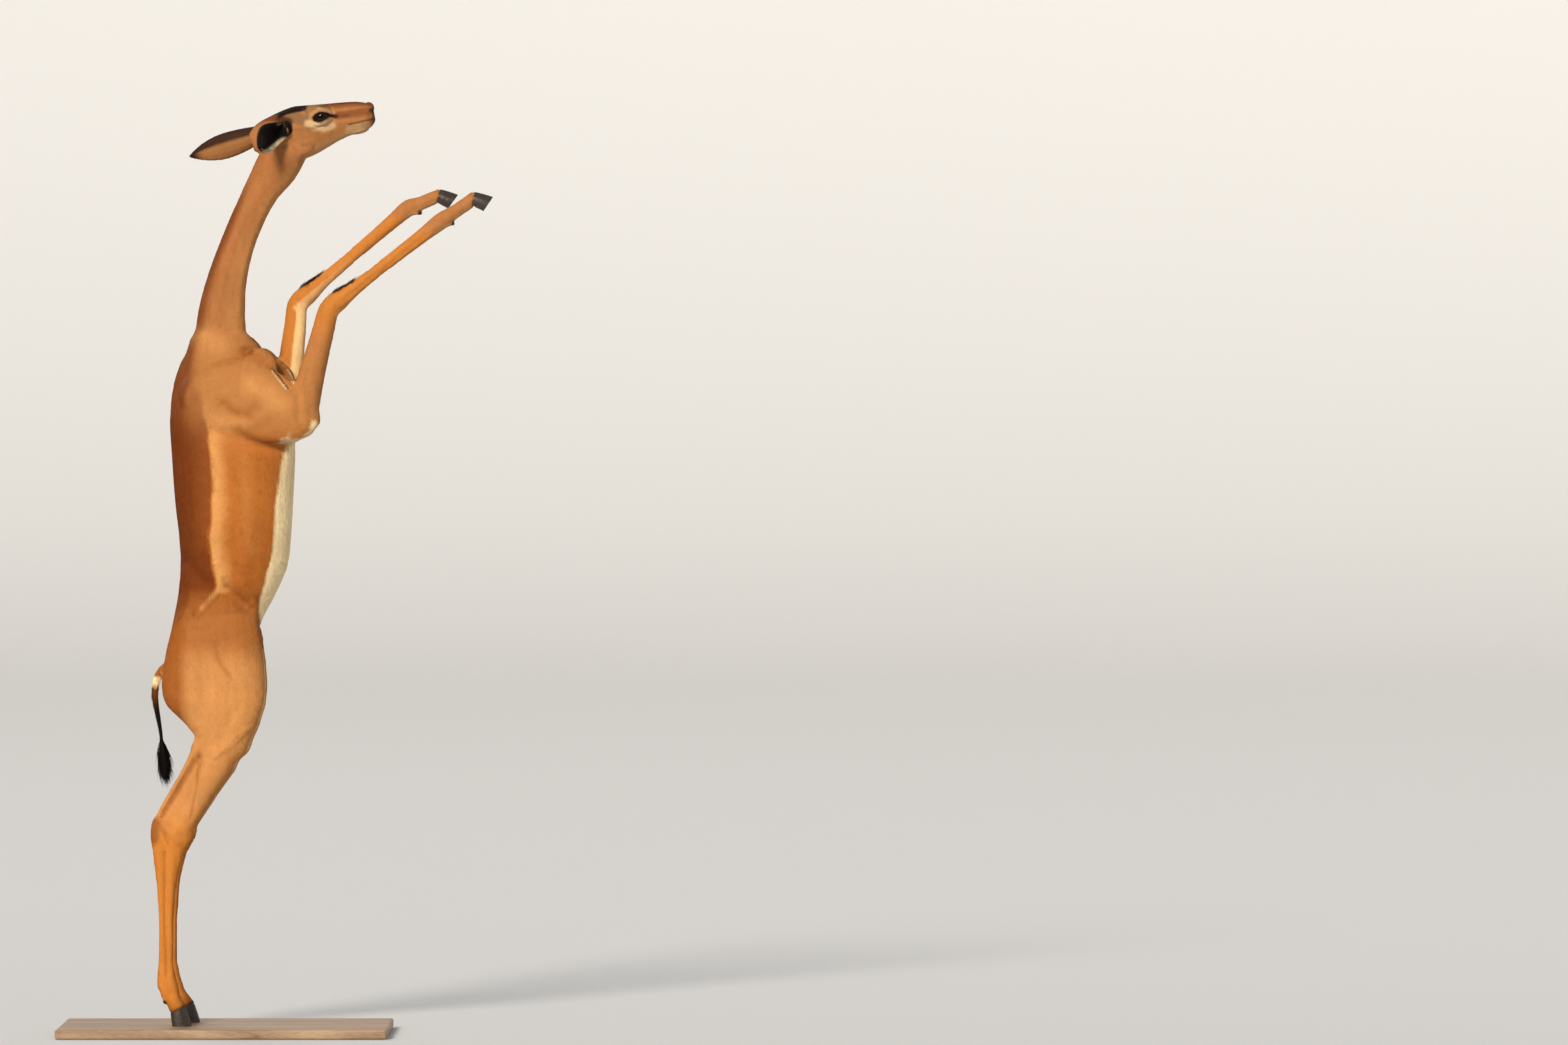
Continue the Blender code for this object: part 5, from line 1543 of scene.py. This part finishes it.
def tail_stalk():
    """The tail's stalk as one tapered tube."""
    curve = bpy.data.curves.new("tail_path", "CURVE")
    curve.dimensions = "3D"
    curve.bevel_depth, curve.bevel_resolution, curve.resolution_u = 1.0, 6, 8
    curve.use_fill_caps = True
    spline = curve.splines.new("NURBS")
    spline.points.add(len(TAIL) - 1)
    for point, (x, z, radius) in zip(spline.points, TAIL):
        point.co, point.radius = (x, 0, z, 1), radius
    spline.use_endpoint_u, spline.order_u = True, 4
    holder = linked("tail_holder", curve)
    mesh = settled_mesh(holder)
    bpy.data.objects.remove(holder)
    return linked("tail_stalk", mesh)


def tail_at(height):
    """Middle of the tail at each height, and its radius there."""
    x = curve_at([(z, x) for x, z, _ in reversed(TAIL)], height)
    radius = curve_at([(z, radius) for _, z, radius in reversed(TAIL)], height)
    return np.stack((x, np.zeros(len(height)), height), 1), radius


def all_round(draw, count):
    """Random level ways to all sides."""
    turn = draw.uniform(0, 2 * np.pi, count)
    return np.stack((np.cos(turn), np.sin(turn), np.zeros(count)), 1)


def stalk_colour(colours, height):
    """White where the tail leaves the rump, then brown, then the black of the tuft."""
    black = np.tile(np.array(colours.tuft) * 2.0, (len(height), 1))
    tone = mixed(black, np.array(colours.hock) * 0.55, rising(height, 0.690, 0.040))
    tone = mixed(tone, colours.belly, rising(height, 0.738, 0.008))
    return mixed(tone, colours.rump, rising(height, 0.757, 0.006))


def tail_tuft(colours, draw, count):
    """Long black locks all round the stalk's end, fullest in its middle."""
    share = draw.uniform(0, 1, count)
    middle, _ = tail_at(TAIL_TUFT_TOP - TAIL_TUFT_SPAN * share)
    spread = all_round(draw, count)
    fullness = (0.18 + 0.44 * draw.uniform(0.1, 1.0, count))[:, None]
    way = units(spread * fullness + np.array((0.10, 0, -1.0)))
    root = middle + spread * 0.0026
    length = draw.uniform(0.046, 0.074, count) * (1 - 0.16 * share)
    bend = -spread * 0.50 + np.array((0.12, 0, 0))
    shapes = long_locks(root, way, bend, length, draw.uniform(0.0016, 0.0030, count))
    tones = np.array(colours.tuft) * draw.uniform(0.5, 1.6, count)[:, None]
    hair_piece("tail_tuft", root, shapes, spread * 0.8 + np.array((0, 0, 0.3)), tones, "tuft")


def tail_stalk_hair(colours, draw, count):
    """Short hair down the stalk: white at its root, then brown, then black."""
    height = STALK_HAIR_TOP - STALK_HAIR_SPAN * draw.uniform(0, 1, count)
    spread = all_round(draw, count)
    middle, radius = tail_at(height)
    root = middle + spread * (radius[:, None] - 0.0006)
    way = units(spread * 0.20 + np.array((0.0, 0, -1.0)))
    tones = stalk_colour(colours, height) * draw.uniform(0.8, 1.2, count)[:, None]
    length, width = draw.uniform(0.006, 0.012, count), draw.uniform(0.0007, 0.0013, count)
    shapes = long_locks(root, way, -spread * 0.10, length, width)
    hair_piece("tail_stalk_hair", root, shapes, spread, tones, "tuft")


class GERENUK_OT_tail(bpy.types.Operator):
    """The thin tail with its tuft of long black locks"""

    bl_idname = "gerenuk.tail"
    bl_label = "Tail"

    def execute(self, context):
        colours = context.scene.gerenuk_colours
        stalk = tail_stalk()
        tone_attribute(stalk.data, stalk_colour(colours, points_of(stalk.data)[:, 2]))
        stalk.data.materials.append(coat_material("tail_skin", 0.12, GRAIN_HEIGHT))
        smooth(stalk.data)
        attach(stalk, "root")
        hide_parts("tail")
        draw = np.random.default_rng(21)
        tail_tuft(colours, draw, context.scene.gerenuk_sizes.tail_locks)
        tail_stalk_hair(colours, draw, STALK_HAIRS)
        return {"FINISHED"}


def ear_lines(name, side):
    """Hair along the low rim of the ear and at its root: look, line of places and way."""
    base, axis, mouth = ear_frame(name)
    low = np.cross(mouth, axis) * -side
    length, breadth = EAR_SIZES[name]

    def rim(share, edge):
        reach = low * curve_at(EAR_WIDTHS, share) * breadth * 0.80
        return base + axis * length * share + mouth * 0.004 + reach * edge

    yield "ear_fringe", [rim(share, 1) for share in (0.16, 0.34, 0.52, 0.70, 0.84)], axis * 0.9 - low * 0.5
    yield "ear_root_hair", [rim(share, -1) for share in (0.02, 0.10, 0.20)], axis * 0.8 + low * 0.6


def side_lines(name, side):
    """Longer hair of one side: look, line of places and way."""
    elbow, carpus, fetlock, _ = foreleg_points(name)
    yield "knee_brush", knee_brush(name), fetlock - carpus
    yield "elbow_hair", elbow + np.array(ELBOW_LINE), (0.3, 0, -1.0)
    yield from ear_lines(name, side)
    eye = np.array((EYE_PLACE[0], side * (EYE_PLACE[1] + 0.016), EYE_PLACE[2]))
    yield "lashes", eye + np.array(LASH_LINE), (0.1, side * 1.0, 0.25)
    yield "whiskers", np.array(WHISKER_LINE) * (1, side, 1), (0.4, side * 1.0, -0.5)


def hair_lines():
    """Places of the longer hair: name, look, line of places and way."""
    rows = []
    for name, side in SIDES.items():
        rows += [(f"{look}_{name}", look, line, way) for look, line, way in side_lines(name, side)]
    rows += [(look, look, line, way) for look, line, way in MIDDLE_LINES]
    for fetlock, coronet, place, end in FEET:
        down, back = foot_ways(fetlock, coronet)
        middle = np.array((coronet[0], place, coronet[1])) - down * 0.0035
        turns = np.linspace(0, 2 * math.pi, 13)
        across = np.array((0, 1, 0))
        ring = [middle + (across * math.sin(turn) - back * math.cos(turn)) * 0.022 for turn in turns]
        name = "left" if place > 0 else "right"
        rows.append((f"coronet_hair_{end}_{name}", f"coronet_hair_{end}", ring, down))
    return rows


class GERENUK_OT_long_hair(bpy.types.Operator):
    """Knee brushes, ear fringes, lashes, whiskers, the chest tuft, white seat and the hair over the hooves"""

    bl_idname = "gerenuk.long_hair"
    bl_label = "Longer hair"

    def execute(self, context):
        mesh = bpy.data.objects["skin"].data
        faces = [tuple(face.vertices) for face in mesh.polygons]
        tree = BVHTree.FromPolygons([vert.co for vert in mesh.vertices], faces)
        tones = coat_tones()
        for index, (name, look, line, way) in enumerate(hair_lines()):
            scatter, lift, length, width, count, tone = HAIR_LOOKS[look]
            draw = np.random.default_rng(40 + index)
            line = np.array(line, float)
            place = draw.uniform(0, len(line) - 1, count)
            spots = np.stack([np.interp(place, np.arange(len(line)), line[:, k]) for k in range(3)], 1)
            spots = spots + draw.normal(0, scatter, (count, 3))
            hits = [tree.find_nearest(Vector(spot)) for spot in spots]
            root, normal = (np.array([hit[k] for hit in hits], float) for k in (0, 1))
            way = unit(np.array(way, float))
            heading = units(way - normal * (normal @ way)[:, None])
            heading = turned(heading, normal, draw.normal(0, 0.16, count))
            stand = lift * draw.uniform(0.6, 1.3, count)[:, None]
            heading = units(heading + normal * stand)
            lengths = length * draw.uniform(0.6, 1.1, count)
            widths = width * draw.uniform(0.7, 1.2, count)
            shapes = long_locks(root - normal * 0.0006, heading, -normal * 0.5 * stand, lengths, widths)
            colours = np.clip(tones[tone] * draw.uniform(0.75, 1.15, count)[:, None], 0, BRIGHTEST)
            slot = "tuft" if look == "knee_brush" else "coat"
            hair_piece(name, root, shapes, normal + heading * 0.1, colours, slot)
        return {"FINISHED"}


# Board and stage


def wood_material():
    """Pale brown wood with its grain along the board."""
    made, nodes, links, shader = new_material("board_wood", 0.48, Specular_IOR_Level=0.4)
    place = stretched_place(nodes, links, {"Scale": (1.0, 9.0, 9.0)})
    coarse = {"Scale": 3.4, "Detail": 6.0, "Roughness": 0.6, "Distortion": 0.8}
    grain = node(nodes, "ShaderNodeTexNoise", coarse)
    fine = node(nodes, "ShaderNodeTexNoise", {"Scale": 60.0, "Detail": 4.0})
    blend = node(nodes, "ShaderNodeMix", {"Factor": 0.35})
    for noise, socket in ((grain, "A"), (fine, "B")):
        links.new(place, noise.inputs["Vector"])
        links.new(noise.outputs["Fac"], blend.inputs[socket])
    dark, light = (0.20, 0.115, 0.060), (0.46, 0.31, 0.185)
    colour = colour_between(nodes, links, blend.outputs["Result"], dark, light, (0.36, 0.66))
    links.new(colour, shader.inputs["Base Color"])
    dent(nodes, links, shader, fine.outputs["Fac"], 0.35, 0.0006)
    return made


class GERENUK_OT_board(bpy.types.Operator):
    """The plain wooden board under the hooves"""

    bl_idname = "gerenuk.board"
    bl_label = "Board"

    def execute(self, context):
        made = wood_material()
        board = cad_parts["stand_board"]
        for slot in board.material_slots:
            slot.material = made
        return {"FINISHED"}


def floor(tone):
    """A wide round floor that rises in a soft bend far out."""
    bm = bmesh.new()
    turns = [math.radians(9 * step) for step in range(11)]
    rise = [(FLOOR_EDGE + BEND * math.sin(turn), BEND * (1 - math.cos(turn))) for turn in turns]
    profile = [(0.0, 0.0), (10.0, 0.0), (22.0, 0.0)] + rise
    verts = [bm.verts.new((out, 0, up)) for out, up in profile]
    for low, high in zip(verts, verts[1:]):
        bm.edges.new((low, high))
    turn = {"cent": (0, 0, 0), "axis": (0, 0, 1), "angle": 2 * math.pi, "steps": 96}
    bmesh.ops.spin(bm, geom=bm.verts[:] + bm.edges[:], use_merge=True, **turn)
    bmesh.ops.remove_doubles(bm, verts=bm.verts[:], dist=1e-5)
    bmesh.ops.recalc_face_normals(bm, faces=bm.faces[:])
    if bm.faces[0].normal.z < 0:
        bmesh.ops.reverse_faces(bm, faces=bm.faces[:])
    bm.transform(Matrix.Translation((0.4, 0, -0.0005)))
    made = from_bmesh("floor", bm)
    smooth(made.data)
    pale, _, _, shader = new_material("floor_pale", 0.95, Specular_IOR_Level=0.1)
    shader.inputs["Base Color"].default_value = (*tone, 1)
    made.data.materials.append(pale)


def pale_room(scene, brightness):
    """Even pale light from all sides."""
    world = bpy.data.worlds.new("pale_room")
    scene.world = world
    world.use_nodes = True
    light = world.node_tree.nodes["Background"].inputs
    light["Color"].default_value = (0.97, 0.985, 1.0, 1)
    light["Strength"].default_value = brightness


def lamps(power):
    """The main light and a weaker one from behind."""
    for name, way, share, angle, tone in LAMPS:
        light = bpy.data.lights.new(name, "SUN")
        light.energy, light.angle, light.color = power * share, math.radians(angle), tone
        lamp = linked(name, light)
        lamp.rotation_euler = Vector(way).to_track_quat("Z", "Y").to_euler()


def camera(scene, studio):
    """The camera, at the photograph's scale and from its side."""
    made = bpy.data.cameras.new("camera")
    made.sensor_width = 36.0
    made.lens = made.sensor_width * studio.distance / (PHOTO_WIDTH / studio.pixels_per_metre)
    made.clip_end = 200.0
    eye = linked("camera", made)
    target = Vector(CAMERA_TARGET)
    eye.location = target + Vector((0, -studio.distance, CAMERA_RISE))
    eye.rotation_euler = (target - eye.location).to_track_quat("-Z", "Y").to_euler()
    scene.camera = eye


class GERENUK_OT_stage(bpy.types.Operator):
    """Pale floor, soft light and the camera"""

    bl_idname = "gerenuk.stage"
    bl_label = "Stage"

    def execute(self, context):
        studio = context.scene.gerenuk_studio
        floor(studio.floor_tone)
        pale_room(context.scene, studio.fill)
        lamps(studio.key_power)
        camera(context.scene, studio)
        context.scene.view_settings.view_transform = "Standard"
        return {"FINISHED"}


OPERATORS = (
    GERENUK_OT_skin,
    GERENUK_OT_eyes,
    GERENUK_OT_hooves,
    GERENUK_OT_coat,
    GERENUK_OT_long_hair,
    GERENUK_OT_tail,
    GERENUK_OT_board,
    GERENUK_OT_stage,
)


class GERENUK_PT_panel(bpy.types.Panel):
    """Lists the pieces in the order in which they are made"""

    bl_idname = "GERENUK_PT_panel"
    bl_label = "Gerenuk"
    bl_space_type = "VIEW_3D"
    bl_region_type = "UI"
    bl_category = "Gerenuk"

    def draw(self, context):
        for operator in OPERATORS:
            self.layout.operator(operator.bl_idname)
        scene = context.scene
        for group in (scene.gerenuk_sizes, scene.gerenuk_colours, scene.gerenuk_studio):
            box = self.layout.box()
            for key in group.bl_rna.properties.keys():
                if key not in ("rna_type", "name"):
                    box.prop(group, key)


GROUPS = {"gerenuk_colours": GerenukColours, "gerenuk_sizes": GerenukSizes, "gerenuk_studio": GerenukStudio}


def register():
    for kind in (*GROUPS.values(), *OPERATORS, GERENUK_PT_panel):
        bpy.utils.register_class(kind)
    for name, kind in GROUPS.items():
        setattr(bpy.types.Scene, name, bpy.props.PointerProperty(type=kind))


def unregister():
    for name in GROUPS:
        delattr(bpy.types.Scene, name)
    for kind in reversed((*GROUPS.values(), *OPERATORS, GERENUK_PT_panel)):
        bpy.utils.unregister_class(kind)


def main():
    register()
    for operator in OPERATORS:
        piece = operator.bl_idname.split(".")[1]
        if getattr(bpy.ops.gerenuk, piece)() != {"FINISHED"}:
            raise RuntimeError(f"{operator.bl_label} was not made")


if __name__ == "__main__":
    main()
